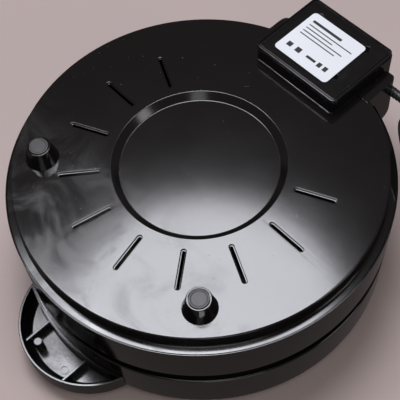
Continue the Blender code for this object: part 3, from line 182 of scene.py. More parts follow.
def softened(corners, count=7, support=0.0):
    # A corner (u, v, radius) becomes a round tangent to both its sides. Support points keep flats flat
    p = np.array([corner[:2] for corner in corners], float)
    made = [p[:1]]
    for i in range(1, len(p) - 1):
        if len(corners[i]) < 3:
            made.append(p[i : i + 1])
            continue
        r = corners[i][2]
        a, b = p[i - 1] - p[i], p[i + 1] - p[i]
        la, lb = np.linalg.norm(a), np.linalg.norm(b)
        a, b = a / la, b / lb
        half = math.acos(float(np.clip(np.dot(a, b), -1, 1))) / 2
        cut = min(r / math.tan(half), 0.49 * la, 0.49 * lb)
        r = cut * math.tan(half)
        centre = p[i] + (a + b) / np.linalg.norm(a + b) * r / math.sin(half)
        start, end = p[i] + a * cut, p[i] + b * cut
        u, w = start - centre, end - centre
        spread = math.pi - 2 * half
        t = np.linspace(0, 1, count)[:, None]
        fillet = centre + (u * np.sin((1 - t) * spread) + w * np.sin(t * spread)) / math.sin(spread)
        if support and cut + support < 0.5 * la:
            made.append((start + a * support)[None])
        made.append(fillet)
        if support and cut + support < 0.5 * lb:
            made.append((end + b * support)[None])
    made.append(p[-1:])
    return np.vstack(made)


def shell(points, roundColumns=False, capped=False):
    # A grid of points (rows, columns, 3) and its faces. Rows close round, and caps close the end columns
    rows, columns = points.shape[:2]
    i, j = np.meshgrid(np.arange(rows), np.arange(columns if roundColumns else columns - 1), indexing="ij")
    up, along = (i + 1) % rows, (j + 1) % columns
    faces = np.stack([i * columns + j, up * columns + j, up * columns + along, i * columns + along], -1)
    faces = faces.reshape(-1, 4).tolist()
    if capped:
        first = np.arange(rows) * columns
        faces += [first.tolist(), (first + columns - 1).tolist()]
    return points.reshape(-1, 3), faces


def makePiece(name, shells, body=None, slot=None, node=None, finish=None):
    # One mesh of all the shells, with the finish of its slot unless it has its own
    points, faces, offset = [], [], 0
    for shellPoints, shellFaces in shells:
        points.append(shellPoints)
        faces += [[v + offset for v in face] for face in shellFaces]
        offset += len(shellPoints)
    mesh = bpy.data.meshes.new(name)
    mesh.from_pydata(np.vstack(points).tolist(), [], faces)
    work = bmesh.new()
    work.from_mesh(mesh)
    bmesh.ops.remove_doubles(work, verts=work.verts, dist=2e-6)
    bmesh.ops.dissolve_degenerate(work, edges=work.edges, dist=1e-6)
    bmesh.ops.recalc_face_normals(work, faces=work.faces)
    work.to_mesh(mesh)
    work.free()
    smoothed(mesh)
    piece = newObject(name, mesh)
    if body:
        mesh.materials.append(finish or finishes[slot])
        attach(piece, body)
    if node:
        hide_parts(node)
    return piece


def smoothed(mesh, sharp=35):
    mesh.shade_smooth()
    mesh.set_sharp_from_angle(angle=math.radians(sharp))


def evenShading(piece):
    # Large flat faces keep their own direction beside small rounds
    even = piece.modifiers.new("evenShading", "WEIGHTED_NORMAL")
    even.mode = "FACE_AREA"
    even.weight = 50
    even.keep_sharp = True


def roundedEdges(piece, width):
    bevel = piece.modifiers.new("roundedEdges", "BEVEL")
    bevel.width = width
    bevel.segments = 3
    bevel.limit_method = "ANGLE"
    bevel.angle_limit = math.radians(40)
    bevel.harden_normals = False


def cutAway(piece, shapes):
    # Cuts with closed shapes, and keeps the result as the piece's own mesh
    cutters = [makePiece("cutter", [shape]) for shape in shapes]
    for cutter in cutters:
        change = piece.modifiers.new("cut", "BOOLEAN")
        change.operation = "DIFFERENCE"
        change.solver = "EXACT"
        change.object = cutter
    bpy.context.view_layer.update()
    mesh = bpy.data.meshes.new_from_object(piece.evaluated_get(bpy.context.evaluated_depsgraph_get()))
    piece.modifiers.clear()
    old = piece.data
    piece.data = mesh
    mesh.name = old.name
    bpy.data.meshes.remove(old)
    for cutter in cutters:
        bpy.data.objects.remove(cutter)
    smoothed(mesh)


def lathe(profile, steps, centre=(0.0, 0.0), lift=0.0):
    # Points (radius, height) turned about an upright axis through the centre
    profile = np.asarray(profile, float)
    a = np.linspace(0, 2 * math.pi, steps, endpoint=False)[:, None]
    r, z = profile[None, :, 0], profile[None, :, 1]
    return np.stack([centre[0] + r * np.cos(a), centre[1] + r * np.sin(a), z + lift + 0 * a], -1)


def latheShell(profile, steps=sideFaces, centre=(0.0, axisY), lift=0.0):
    # Turned about the body's axis unless it has a centre of its own
    return shell(lathe(profile, steps, centre, lift))


def laidAlong(points, place, direction):
    # Turns points made along +Z so that they run along a direction from a place
    turn = np.array(Vector(direction).to_track_quat("Z", "Y").to_matrix())
    return points @ turn.T + np.asarray(place)


def laidShell(profile, steps, place, direction):
    return shell(laidAlong(lathe(profile, steps), place, direction))


def rod(radius, start, end):
    # Profile of a plain round bar
    return [(0, start), (radius, start), (radius, end), (0, end)]


def roundedBox(halfX, lowY, highY, radius, perCorner=9, centreX=0.0):
    # Outline of a rectangle with round corners, anticlockwise, as many points whatever its size
    radius = max(radius, 1e-5)
    corners = (
        (halfX - radius, lowY + radius, -90),
        (halfX - radius, highY - radius, 0),
        (radius - halfX, highY - radius, 90),
        (radius - halfX, lowY + radius, 180),
    )
    return np.vstack([arc((centreX + x, y), radius, turn, turn + 90, perCorner) for x, y, turn in corners])


def loopStack(loops, heights, capped=True):
    # Outlines of equally many points, one above the other
    stacked = [np.column_stack([loop, np.full(len(loop), z)]) for loop, z in zip(loops, heights)]
    return shell(np.stack(stacked, 1), capped=capped)


# Effects that several materials share

def feed(tree, socket, value):
    # Sets a number or a colour on the socket, or links another node's output to it
    if isinstance(value, (int, float)):
        socket.default_value = value
    elif isinstance(value, tuple):
        socket.default_value = (*value, 1)
    else:
        tree.links.new(value, socket)


def filledNode(tree, kind, values):
    node = tree.nodes.new(kind)
    for socketName, value in values.items():
        feed(tree, node.inputs[socketName], value)
    return node


def mathNode(tree, operation, *values, clamp=False):
    node = filledNode(tree, "ShaderNodeMath", dict(enumerate(values)))
    node.operation = operation
    node.use_clamp = clamp
    return node.outputs[0]


def ramp(tree, value, low, high):
    # 0 below low, 1 above high, smooth between
    node = filledNode(tree, "ShaderNodeMapRange", {"Value": value, "From Min": low, "From Max": high})
    node.interpolation_type = "SMOOTHSTEP"
    return node.outputs["Result"]


def noiseNode(tree, place, scale, detail, roughness=0.5, distortion=0.0):
    values = {"Vector": place, "Scale": scale, "Detail": detail}
    values |= {"Roughness": roughness, "Distortion": distortion}
    return filledNode(tree, "ShaderNodeTexNoise", values).outputs["Fac"]


def newGroup(name, numbers, result):
    # A group that takes a place and some numbers, and gives one value
    group = bpy.data.node_groups.new(name, "ShaderNodeTree")
    group.interface.new_socket(name="Vector", in_out="INPUT", socket_type="NodeSocketVector")
    for socketName, value in numbers.items():
        made = group.interface.new_socket(name=socketName, in_out="INPUT", socket_type="NodeSocketFloat")
        made.default_value = value
    group.interface.new_socket(name=result, in_out="OUTPUT", socket_type="NodeSocketFloat")
    return group, group.nodes.new("NodeGroupInput").outputs, group.nodes.new("NodeGroupOutput").inputs[0]


def dustGroup():
    # Round specks of uneven size, one in some of the cells of a cell pattern
    group, given, result = newGroup("settledDust", {"Cells per metre": 900.0, "Share": 0.2}, "Mask")
    values = {"Vector": given["Vector"], "Scale": given["Cells per metre"]}
    cells = filledNode(group, "ShaderNodeTexVoronoi", values)
    split = filledNode(group, "ShaderNodeSeparateColor", {"Color": cells.outputs["Color"]})
    size = mathNode(group, "MULTIPLY", split.outputs["Green"], 0.22)
    outside = ramp(group, mathNode(group, "SUBTRACT", cells.outputs["Distance"], size), 0.0, 0.08)
    speck = mathNode(group, "SUBTRACT", 1.0, outside)
    chosen = mathNode(group, "LESS_THAN", split.outputs["Red"], given["Share"])
    group.links.new(mathNode(group, "MULTIPLY", speck, chosen), result)
    return group


def smudgeGroup():
    # Cloudy hand marks: warped noise, kept only where it is high, with fine grain inside
    numbers = {"Clouds per metre": 25.0, "Low": 0.5, "High": 0.72}
    group, given, result = newGroup("handSmudges", numbers, "Mask")
    clouds = noiseNode(group, given["Vector"], given["Clouds per metre"], 5, 0.62, 0.8)
    grain = mathNode(group, "MULTIPLY", noiseNode(group, given["Vector"], 1400, 2), 0.8)
    mask = ramp(group, clouds, given["Low"], given["High"])
    grainy = mathNode(group, "MULTIPLY", mask, mathNode(group, "ADD", grain, 0.6), clamp=True)
    group.links.new(grainy, result)
    return group


def grainGroup():
    # Height of a moulded skin: long waves of the mould with a fine grain on them
    numbers = {"Grain per metre": 2600.0, "Waves": 0.6, "Grain": 0.4}
    group, given, result = newGroup("mouldedSkin", numbers, "Height")
    waves = mathNode(group, "MULTIPLY", noiseNode(group, given["Vector"], 60, 1), given["Waves"])
    grain = noiseNode(group, given["Vector"], given["Grain per metre"], 3)
    group.links.new(mathNode(group, "ADD", waves, mathNode(group, "MULTIPLY", grain, given["Grain"])), result)
    return group


settledDust = dustGroup()
handSmudges = smudgeGroup()
mouldedSkin = grainGroup()
sheen = 0.8  # Specular IOR Level, chosen so that modest lamps reflect as brightly as in the photo


class Finish:
    # One material under construction, with the object's own coordinates ready
    def __init__(self, name, color, roughness, metallic=0.0):
        self.material = bpy.data.materials.new(name)
        self.material.use_nodes = True
        self.material.diffuse_color = (*color, 1)
        self.tree = self.material.node_tree
        self.shader = self.tree.nodes["Principled BSDF"]
        self.give(Base_Color=color, Roughness=roughness, Metallic=metallic, Specular_IOR_Level=sheen)
        self.place = self.tree.nodes.new("ShaderNodeTexCoord").outputs["Object"]

    def give(self, **values):
        for socketName, value in values.items():
            feed(self.tree, self.shader.inputs[socketName.replace("_", " ")], value)

    def reckon(self, operation, *values):
        return mathNode(self.tree, operation, *values)

    def effect(self, group, **values):
        node = self.tree.nodes.new("ShaderNodeGroup")
        node.node_tree = group
        self.tree.links.new(self.place, node.inputs["Vector"])
        for socketName, value in values.items():
            node.inputs[socketName.replace("_", " ")].default_value = value
        return node.outputs[0]

    def noise(self, scale, detail, roughness=0.5, place=None):
        return noiseNode(self.tree, self.place if place is None else place, scale, detail, roughness)

    def along(self, axis):
        return filledNode(self.tree, "ShaderNodeSeparateXYZ", {"Vector": self.place}).outputs[axis]

    def moved(self, scale=(1, 1, 1), turn=(0, 0, 0)):
        node = self.tree.nodes.new("ShaderNodeMapping")
        node.inputs["Scale"].default_value = scale
        node.inputs["Rotation"].default_value = turn
        self.tree.links.new(self.place, node.inputs["Vector"])
        return node.outputs["Vector"]

    def mixed(self, mask, first, second):
        node = self.tree.nodes.new("ShaderNodeMix")
        node.data_type = "RGBA"
        for socketName, value in (("Factor", mask), ("A", first), ("B", second)):
            feed(self.tree, node.inputs[socketName], value)
        return node.outputs["Result"]

    def between(self, mask, low, high):
        values = {"Value": mask, "To Min": low, "To Max": high}
        return filledNode(self.tree, "ShaderNodeMapRange", values).outputs["Result"]

    def bump(self, height, strength, distance=0.0002):
        values = {"Strength": strength, "Distance": distance, "Height": height}
        self.give(Normal=filledNode(self.tree, "ShaderNodeBump", values).outputs["Normal"])


def shade(color, share):
    return tuple(min(1.0, c * share) for c in color)


def polishedBlack(
    name, roughness, dust=0.012, smudge=0.4, wave=0.1, color=(0.004, 0.0037, 0.0036),
    lowSmudge=0.56, front=None,
):
    # Gloss black plastic with hand marks, a little settled dust and the long waves of its mould
    f = Finish(name, color, roughness)
    specks = f.effect(settledDust, Cells_per_metre=620.0, Share=dust)
    fine = f.effect(settledDust, Cells_per_metre=1700.0, Share=dust * 0.6)
    marks = f.effect(handSmudges, Clouds_per_metre=22.0, Low=lowSmudge, High=0.78)
    if front:
        # The marks fade out behind a line along X
        marks = f.reckon("MULTIPLY", marks, ramp(f.tree, f.along("Y"), *front))
    faint = f.reckon("MULTIPLY", marks, smudge)
    soiled = f.mixed(faint, color, (0.02, 0.019, 0.0185))
    dusted = f.reckon("MULTIPLY", f.reckon("MAXIMUM", specks, fine), 0.3)
    uneven = f.between(f.noise(35, 4), roughness * 0.85, roughness * 1.2)
    rough = f.reckon("ADD", uneven, f.reckon("MULTIPLY", faint, 0.16))
    f.give(
        Base_Color=f.mixed(dusted, soiled, (0.22, 0.2, 0.19)),
        Specular_IOR_Level=f.between(faint, sheen, 0.58),
        Roughness=f.reckon("MAXIMUM", rough, f.reckon("MULTIPLY", specks, 0.45)),
    )
    f.bump(f.effect(mouldedSkin, Grain_per_metre=2400.0, Waves=0.7, Grain=0.25), wave)
    return f.material


def matteFinish(name, color, roughness, grain=1800.0, strength=0.25, tint=0.25):
    # Moulded plastic or rubber with an even grain and slightly uneven colour
    f = Finish(name, color, roughness)
    f.give(
        Base_Color=f.mixed(f.noise(90, 5), shade(color, 1 - tint), shade(color, 1 + tint)),
        Roughness=f.between(f.noise(240, 3), roughness * 0.88, min(1, roughness * 1.12)),
    )
    f.bump(f.effect(mouldedSkin, Grain_per_metre=grain, Waves=0.3, Grain=0.7), strength)
    return f.material


def metalFinish(name, color, roughness, stretch=(1, 1, 40)):
    # Metal with fine drawn lines and cloudy tarnish
    f = Finish(name, color, roughness, metallic=1.0)
    lines = f.noise(300, 4, 0.6, f.moved(stretch))
    f.give(
        Base_Color=f.mixed(f.noise(45, 4), shade(color, 0.8), shade(color, 1.08)),
        Roughness=f.between(lines, roughness * 0.75, roughness * 1.3),
    )
    f.bump(lines, 0.12, 0.00005)
    return f.material


def lensFinish(name, color):
    # Tinted clear plastic over fine ribs
    f = Finish(name, color, 0.12)
    tinted = f.mixed(f.noise(500, 2), shade(color, 0.6), color)
    f.give(Coat_Weight=0.6, Coat_Roughness=0.06, Base_Color=tinted)
    f.bump(f.noise(900, 2), 0.1, 0.0001)
    return f.material


def sleeveFinish(name, color):
    # Woven glass sleeve: two sets of crossing waves, with painted shade between the threads where the weave
    # lies low
    f = Finish(name, color, 0.7)
    weave = []
    for turn in (0.7, -0.7):
        values = {"Scale": 700, "Vector": f.moved(turn=(turn, turn, turn))}
        weave.append(filledNode(f.tree, "ShaderNodeTexWave", values).outputs["Fac"])
    height = f.reckon("MAXIMUM", *weave)
    # The low parts of the weave are painted darker: painted shade between the threads
    f.give(Base_Color=f.mixed(height, shade(color, 0.6), color))
    f.bump(height, 0.5, 0.0002)
    return f.material


finishes = {
    "gloss_black": polishedBlack("glossBlack", 0.11),
    "satin_black": matteFinish("satinBlack", (0.018, 0.017, 0.017), 0.38),
    "foot_rubber": matteFinish("footRubber", (0.02, 0.0195, 0.02), 0.5, 1500.0, 0.35),
    "cord_black": matteFinish("cordSheath", (0.016, 0.015, 0.015), 0.36, 1100.0, 0.2),
    "plate_coating": matteFinish("plateCoating", (0.028, 0.028, 0.029), 0.42, 2600.0, 0.4),
    "steel": metalFinish("drawnSteel", (0.6, 0.6, 0.59), 0.32),
    "screw_zinc": metalFinish("zincPlated", (0.55, 0.55, 0.56), 0.38, (1, 1, 4)),
    "label_white": matteFinish("labelFilm", (0.86, 0.88, 0.9), 0.42, 2000.0, 0.05, 0.02),
    "lens_red": lensFinish("redLens", (0.55, 0.02, 0.015)),
    "lens_green": lensFinish("greenLens", (0.03, 0.4, 0.07)),
    "ceramic_white": matteFinish("firedCeramic", (0.78, 0.76, 0.71), 0.5, 900.0, 0.3, 0.06),
    "lamp_board": matteFinish("lacqueredBoard", (0.04, 0.2, 0.07), 0.35, 1200.0, 0.15),
    "wire_sleeve": sleeveFinish("glassSleeve", (0.74, 0.73, 0.69)),
}
panelFinish = polishedBlack("panelBlack", 0.125, dust=0.014, smudge=1.0, lowSmudge=0.42, front=(-0.02, -0.09))
boxFinish = polishedBlack("boxCoverBlack", 0.2, 0.01, 0.3, 0.2, (0.007, 0.0068, 0.0068))
handleFinish = polishedBlack("handleBlack", 0.15, dust=0.03, smudge=0.8, wave=0.15, lowSmudge=0.46)
blackenedFinish = metalFinish("blackenedSteel", (0.02, 0.02, 0.021), 0.45, (1, 1, 4))
# The heat shield's steel is painted far darker than steel: painted shade inside the vent slots, which keeps
# the lamps' reflection out of them
shadeDarkenedShield = metalFinish("shadeDarkenedSteel", (0.15, 0.145, 0.14), 0.5)

# CAD nodes that stay in view or inside keep their shape and get the finish of their slot
slotOf = {row["node"]: row["material_slot"] for row in frame["record"]["subparts"]}
for nodeName, node in frame["nodes"].items():
    # The heat shield takes the steel painted dark as shade in the vent slots
    finish = shadeDarkenedShield if nodeName.endswith("heat_shield") else finishes[slotOf[nodeName]]
    node.data.materials.clear()
    node.data.materials.append(finish)
print(f"finishes: {len(bpy.data.materials)} materials")


# Bottom cover: panel, recess, vents, step and ledge

coverSizes = {
    "stepR": 0.1524,
    "stepDraft": 0.0004,
    "stepH": 0.0143,
    "edgeRound": 0.0011,
    "innerFillet": 0.0008,
    "ledgeR": 0.1588,
    "ledgeDrop": 0.0002,
    "wall": 0.0025,
    "recessOutR": 0.0713,
    "recessInR": 0.0656,
    "recessD": 0.0056,
    "slotInR": 0.0803,
    "slotOutR": 0.1145,
    "slotW": 0.0037,
    "slotRim": 0.0007,
    "slotSeatZ": 0.0014,
    "slotSeatW": 0.0007,
    "slotSeatDrop": 0.0001,
    "slotsRound": 14,
    "slotsUsed": 10,
    "notchGap": 0.0004,
}


def slotShape(number, s):
    # A long round-ended hole whose rim flares in a quarter round, with a narrow sloped seat inside
    half, rim, seat = s["slotW"] / 2, s["slotRim"], s["slotSeatZ"]
    down = np.linspace(0, rim, 6)
    depth = np.concatenate([[-0.001], down, [seat, seat + s["slotSeatDrop"], s["wall"] + 0.002]])
    flare = rim - np.sqrt(np.maximum(0, rim**2 - (rim - down) ** 2))
    flare = np.concatenate([[rim], flare, [0, -s["slotSeatW"], -s["slotSeatW"]]])
    angle = (number - (s["slotsUsed"] - 1) / 2) * 2 * math.pi / s["slotsRound"] - math.pi / 2
    turn = np.array([[math.cos(angle), math.sin(angle)], [-math.sin(angle), math.cos(angle)]])
    loops = []
    for w in half + flare:
        ends = [arc((s["slotOutR"] - half, 0), w, -90, 90, 13), arc((s["slotInR"] + half, 0), w, 90, 270, 13)]
        loops.append(np.vstack(ends) @ turn + (0, axisY))
    return loopStack(loops, panelZ + depth)


def makeBottomCover(s):
    wall, inner = s["wall"], s["stepR"] - s["wall"]
    ledgeZ = panelZ + s["stepH"]
    lipZ = ledgeZ + s["ledgeDrop"]
    profile = softened(
        [
            (0, panelZ + s["recessD"] + wall),
            (s["recessInR"], panelZ + s["recessD"] + wall),
            (s["recessOutR"], panelZ + wall),
            (inner, panelZ + wall),
            (inner, ledgeZ + wall),
            (s["ledgeR"], lipZ + wall, 0.0003),
            (s["ledgeR"], lipZ, 0.0003),
            (s["stepR"] + s["stepDraft"], ledgeZ, s["innerFillet"]),
            (s["stepR"], panelZ, s["edgeRound"]),
            (s["recessOutR"], panelZ, 0.0008),
            (s["recessInR"], panelZ + s["recessD"], 0.0012),
            (0, panelZ + s["recessD"]),
        ],
        9,
        0.0004,
    )
    shells = [latheShell(profile)]
    cover = makePiece("bottomCover", shells, "base", "gloss_black", "bottom_cover", panelFinish)
    b, gap = boxSizes, s["notchGap"]
    notch = roundedBox(b["halfX"] + gap, b["frontY"] - gap, b["backY"], b["cornerR"])
    slots = [slotShape(i, s) for i in range(s["slotsUsed"])]
    cutAway(cover, [*slots, loopStack([notch, notch], [0, b["blockTopZ"]])])
    evenShading(cover)


# Rear box with its cover, label and screws, and the hinge block

boxSizes = {
    "halfX": 0.0445,
    "frontY": 0.1089 + axisY,
    "backY": 0.1835 + axisY,
    "cornerR": 0.0045,
    "coverT": 0.0026,
    "coverRound": 0.0004,
    "seam": 0.0004,
    "footW": 0.0005,
    "footH": 0.001,
    "rimW": 0.0005,
    "grooveW": 0.0012,
    "grooveD": 0.0014,
    "edgeRound": 0.0004,
    "blockRound": 0.0016,
    "blockTopZ": 0.0438,
    "blockFrontY": 0.1565 + axisY,
    "blockHalfX": 0.0454,
    "wall": 0.0025,
    "screwX": 0.026,
    "screwYs": (0.1292 + axisY, 0.1688 + axisY),
    "holeR": 0.0040,
    "holeD": 0.0046,
    "holeFlare": 0.0004,
    "cupWall": 0.0014,
    "shankR": 0.0018,
    "labelW": 0.0586,
    "labelL": 0.0523,
    "labelX": 0.0034,
    "labelFrontY": 0.1185 + axisY,
    "labelCornerR": 0.0036,
    "labelT": 0.0003,
    # Each ruled line: how far behind the label's front edge, its thickness, and from where to where across
    "rules": (
        (0.0435, 0.0028, -0.0085, 0.0235),
        (0.0384, 0.0011, -0.0240, 0.0235),
        (0.0345, 0.0011, -0.0060, 0.0235),
        (0.0306, 0.0011, -0.0200, 0.0235),
        (0.0267, 0.0011, -0.0150, 0.0235),
        (0.0110, 0.0050, 0.0180, 0.0230),
        (0.0110, 0.0054, 0.0080, 0.0134),
        (0.0110, 0.0026, -0.0085, 0.0015),
        (0.0110, 0.0050, -0.0150, -0.0110),
        (0.0110, 0.0050, -0.0215, -0.0175),
    ),
}


def makeRearBox(s):
    wall, edge, top = s["wall"], s["edgeRound"], s["blockRound"]
    wallZ = s["coverT"] + s["seam"]
    boxTopZ = panelZ + wall
    t = np.radians(np.linspace(0, 90, 5))
    insets = [edge * (1 - math.sin(a)) for a in t]
    rises = [wallZ + edge * (1 - math.cos(a)) for a in t]

    def outline(inset, halfX=s["halfX"], frontY=s["frontY"], backY=s["backY"] - 0.001):
        return roundedBox(halfX - inset, frontY + inset, backY - inset, s["cornerR"] - inset * 0.9)

    def blockLine(inset):
        return outline(inset, s["blockHalfX"], s["blockFrontY"], s["backY"])

    # The wall under the cover: outside, round its edge, and back up the inside
    loops = [outline(inset) for inset in (0, *insets[::-1], wall, wall)]
    box = loopStack(loops, [boxTopZ, *rises[::-1], wallZ, boxTopZ - 0.0005])
    # The taller and slightly wider block behind the round wall
    loops = [blockLine(inset) for inset in (wall, wall, *insets, *[top * (1 - math.cos(a)) for a in t])]
    crown = [s["blockTopZ"] - top + top * math.sin(a) for a in t]
    block = loopStack(loops, [s["blockTopZ"] - wall, wallZ, *rises, *crown])
    # A narrow sloped foot where the box meets the panel
    loops = [outline(inset) for inset in (wall, 0.0002, -s["footW"], -s["footW"], wall, wall)]
    sunk, footZ = panelZ - 0.0002, panelZ + s["footH"]
    foot = loopStack(loops, [sunk, sunk, panelZ - 0.00002, footZ, footZ, sunk], False)
    evenShading(makePiece("rearBox", [box, block, foot], "base", "gloss_black", "base_housing"))


def boxScrewPlaces(s):
    return [(x, y) for y in s["screwYs"] for x in (-s["screwX"], s["screwX"])]


def makeBoxCover(s):
    r, rim, step, face = s["coverRound"], s["rimW"], 0.00012, 0.00005
    t = np.radians(np.linspace(0, 76, 6))[::-1]
    slope = rim * math.tan(math.radians(14))
    lowest = r * (1 - math.cos(t[0]))
    # From the middle of the face: its sloped border, a groove, the sloped rim and the round edge
    groove = r + rim
    border = groove + s["grooveW"] + 2 * step
    insets = [border + rim, border, border - step, groove + step, groove]
    heights = [0, slope, s["grooveD"], s["grooveD"], face]
    insets += [r * (1 - math.sin(a)) for a in t] + [0, 0.0003]
    heights += [face + slope + r * (1 - math.cos(a)) - lowest for a in t]
    heights += [s["coverT"] - 0.0003, s["coverT"]]
    loops = [roundedBox(s["halfX"] - i, s["frontY"] + i, s["backY"] - i, s["cornerR"] - i) for i in insets]
    cover = makePiece(
        "boxCover", [loopStack(loops, heights)], "base", "gloss_black", "rear_box_cover", boxFinish
    )
    # Holes with a flared rim, and the cups behind them that hold the screws
    flare, holeR, tight = s["holeFlare"], s["holeR"], s["holeR"] - 0.0001
    inner, outer = s["shankR"], holeR + s["cupWall"]
    seatZ, cupZ = s["coverT"] - 0.0004, s["holeD"] + s["cupWall"]
    throat = [(holeR + flare, -0.001)]
    for a in np.radians(np.linspace(0, 90, 5)):
        throat.append((holeR + flare * (1 - math.sin(a)), flare * (1 - math.cos(a))))
    throat = [(0, -0.001), *throat, (tight, s["coverT"] + 0.001), (0, s["coverT"] + 0.001)]
    cup = [(tight, seatZ), (holeR - 0.0002, s["holeD"]), (inner, s["holeD"]), (inner, cupZ), (outer, cupZ)]
    cup += [(outer, seatZ), (tight, seatZ)]
    cutAway(cover, [latheShell(throat, 48, place) for place in boxScrewPlaces(s)])
    evenShading(cover)
    cups = [latheShell(cup, 48, place) for place in boxScrewPlaces(s)]
    makePiece("screwCups", cups, "base", "gloss_black", finish=finishes["satin_black"])


def labelFinish(s):
    # White film with plain ruled lines, as on a blank form
    f = Finish("ruledLabelFilm", (0.86, 0.88, 0.9), 0.42)
    across = f.reckon("SUBTRACT", f.along("X"), s["labelX"])
    along = f.reckon("SUBTRACT", f.along("Y"), s["labelFrontY"])
    ruled = 0.0
    for y, thickness, low, high in s["rules"]:
        band = f.reckon("LESS_THAN", f.reckon("ABSOLUTE", f.reckon("SUBTRACT", along, y)), thickness / 2)
        above, below = f.reckon("GREATER_THAN", across, low), f.reckon("LESS_THAN", across, high)
        inside = f.reckon("MULTIPLY", above, below)
        ruled = f.reckon("MAXIMUM", f.reckon("MULTIPLY", band, inside), ruled)
    film = f.mixed(f.noise(120, 4), (0.74, 0.77, 0.80), (0.78, 0.81, 0.84))
    inked = f.reckon("MULTIPLY", ruled, f.between(f.noise(2500, 2), 0.93, 1.0))
    f.give(
        Base_Color=f.mixed(inked, film, (0.012, 0.012, 0.014)),
        Roughness=f.between(f.noise(200, 3), 0.5, 0.62),
        Specular_IOR_Level=0.2,
    )
    f.bump(f.effect(mouldedSkin, Grain_per_metre=900.0, Waves=0.9, Grain=0.2), 0.08)
    return f.material


def makeLabel(s):
    front, edge = s["labelFrontY"], 0.00008
    loops = [
        roundedBox(s["labelW"] / 2 - i, front + i, front + s["labelL"] - i, s["labelCornerR"], 9, s["labelX"])
        for i in (edge, 0, 0)
    ]
    label = loopStack(loops, [-edge, 0, s["labelT"]])
    makePiece("blankLabel", [label], "base", "label_white", "rating_label", labelFinish(s))


screwSizes = {"headR": 0.0032, "headT": 0.0019, "shankR": 0.0015, "turns": (25, 115)}


def makeBoxScrews(s):
    # Low domed heads with a cross recess, each on a plain shank
    low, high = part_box("box_cover_screw_1")
    r, t, shank, tipZ = s["headR"], s["headT"], s["shankR"], high.z - low.z
    dome = [(0, 0), (r * 0.55, 0.00012, 0.0004), (r * 0.9, 0.0005, 0.0004), (r, 0.0009, 0.0003)]
    dome = softened([*dome, (r, t, 0.0002), (shank, t, 0.0001), (shank, tipZ, 0.0002), (0, tipZ)], 4)
    arms = []
    for turn in s["turns"]:
        a = math.radians(turn)
        u = np.array([math.cos(a), math.sin(a)]) * r * 1.15 / 2
        v = np.array([-math.sin(a), math.cos(a)]) * r * 0.26 / 2
        outline = np.array([u * x + v * y for x, y in ((1, 1), (-1, 1), (-1, -1), (1, -1))])
        arms.append(loopStack([outline, outline * 0.7], [-0.001, t * 0.75]))
    for i, (x, y) in enumerate(boxScrewPlaces(boxSizes), 1):
        head = latheShell(dome, 32, (0.0, 0.0))
        screw = makePiece(
            f"boxScrew{i}", [head], "base", "screw_zinc", f"box_cover_screw_{i}", blackenedFinish
        )
        cutAway(screw, arms)
        points = np.empty(len(screw.data.vertices) * 3)
        screw.data.vertices.foreach_get("co", points)
        points = laidAlong(points.reshape(-1, 3), (x, y, low.z), (0, 0, 1))
        screw.data.vertices.foreach_set("co", points.ravel())
        screw.data.update()


# Side ring, cooking plates and lid

plateSizes = {"faceZ": 0.0795, "air": 0.0005, "thick": 0.005, "skirt": 0.0024, "rim": 0.0015}
postSizes = {"boreR": 0.00205, "r": 0.005, "lowZ": 0.0403}
ringSizes = {
    "wall": 0.0025,
    "topZ": 0.073,
    "lipW": 0.0008,
    "lipRound": 0.0003,
    "rimRound": 0.0014,
    "flangeW": 0.011,
    "flangeT": 0.002,
    "flangeDrop": 0.0033,
    "shelfW": 0.0045,
    "shelfT": 0.002,
}
flangeR = bodyR - ringSizes["flangeW"]
flangeZ = ringSizes["topZ"] - ringSizes["flangeDrop"]


def makeSideRing(s):
    lipZ = panelZ + coverSizes["stepH"]
    lipR, shelfR, innerR = bodyR - s["lipW"], bodyR - s["shelfW"], bodyR - s["wall"]
    shelfZ = lipZ + coverSizes["ledgeDrop"] + coverSizes["wall"] + 0.0003
    profile = softened(
        [
            (innerR, s["topZ"]),
            (bodyR, s["topZ"], s["rimRound"]),
            (bodyR, lipZ, s["lipRound"]),
            (lipR, lipZ, 0.0002),
            (lipR, shelfZ),
            (shelfR, shelfZ),
            (shelfR, shelfZ + s["shelfT"]),
            (innerR, shelfZ + s["shelfT"]),
            (innerR, flangeZ - s["flangeT"]),
            (flangeR, flangeZ - s["flangeT"]),
            (flangeR, flangeZ, 0.0004),
            (innerR, flangeZ),
            (innerR, s["topZ"]),
        ],
        8,
        0.0005,
    )
    makePiece("sideRing", [latheShell(profile)], "base", "gloss_black", "base_housing")


def makePlates(s):
    outR, backZ, skirtZ = plateHigh.x, s["faceZ"] - s["thick"], flangeZ + 0.0003
    skirtR = outR - s["skirt"]
    corners = [(0, s["faceZ"]), (outR, s["faceZ"], s["rim"]), (outR, skirtZ, 0.0004)]
    corners += [(skirtR, skirtZ, 0.0004), (skirtR, backZ, 0.001), (0, backZ)]
    profile = softened(corners, 7, 0.0005)
    for word, body in (("lower", "base"), ("upper", "lid")):
        if word == "upper":
            profile[:, 1] = 2 * s["faceZ"] + s["air"] - profile[:, 1]
        makePiece(f"{word}CookingPlate", [latheShell(profile)], body, "plate_coating", f"{word}_plate")
    # Posts over the feet, which take the long screws
    boreR, r, low, top = postSizes["boreR"], postSizes["r"], postSizes["lowZ"], backZ + 0.0005
    post = softened([(boreR, low), (r, low, 0.0004), (r, top), (boreR, top), (boreR, low)], 4)
    posts = [latheShell(post, 32, footPlace(side, footSizes)) for side, word in sides]
    makePiece("platePosts", posts, "base", "plate_coating")


lidSizes = {
    "bottomZ": 0.0855,
    "topZ": lidHigh.z,
    "edgeRound": 0.010,
    "wall": 0.0025,
    "flangeT": 0.002,
    "lensR": 0.0032,
    "lensX": 0.009,
    "lensY": -0.118 + axisY,
    "lensRise": 0.0008,
}


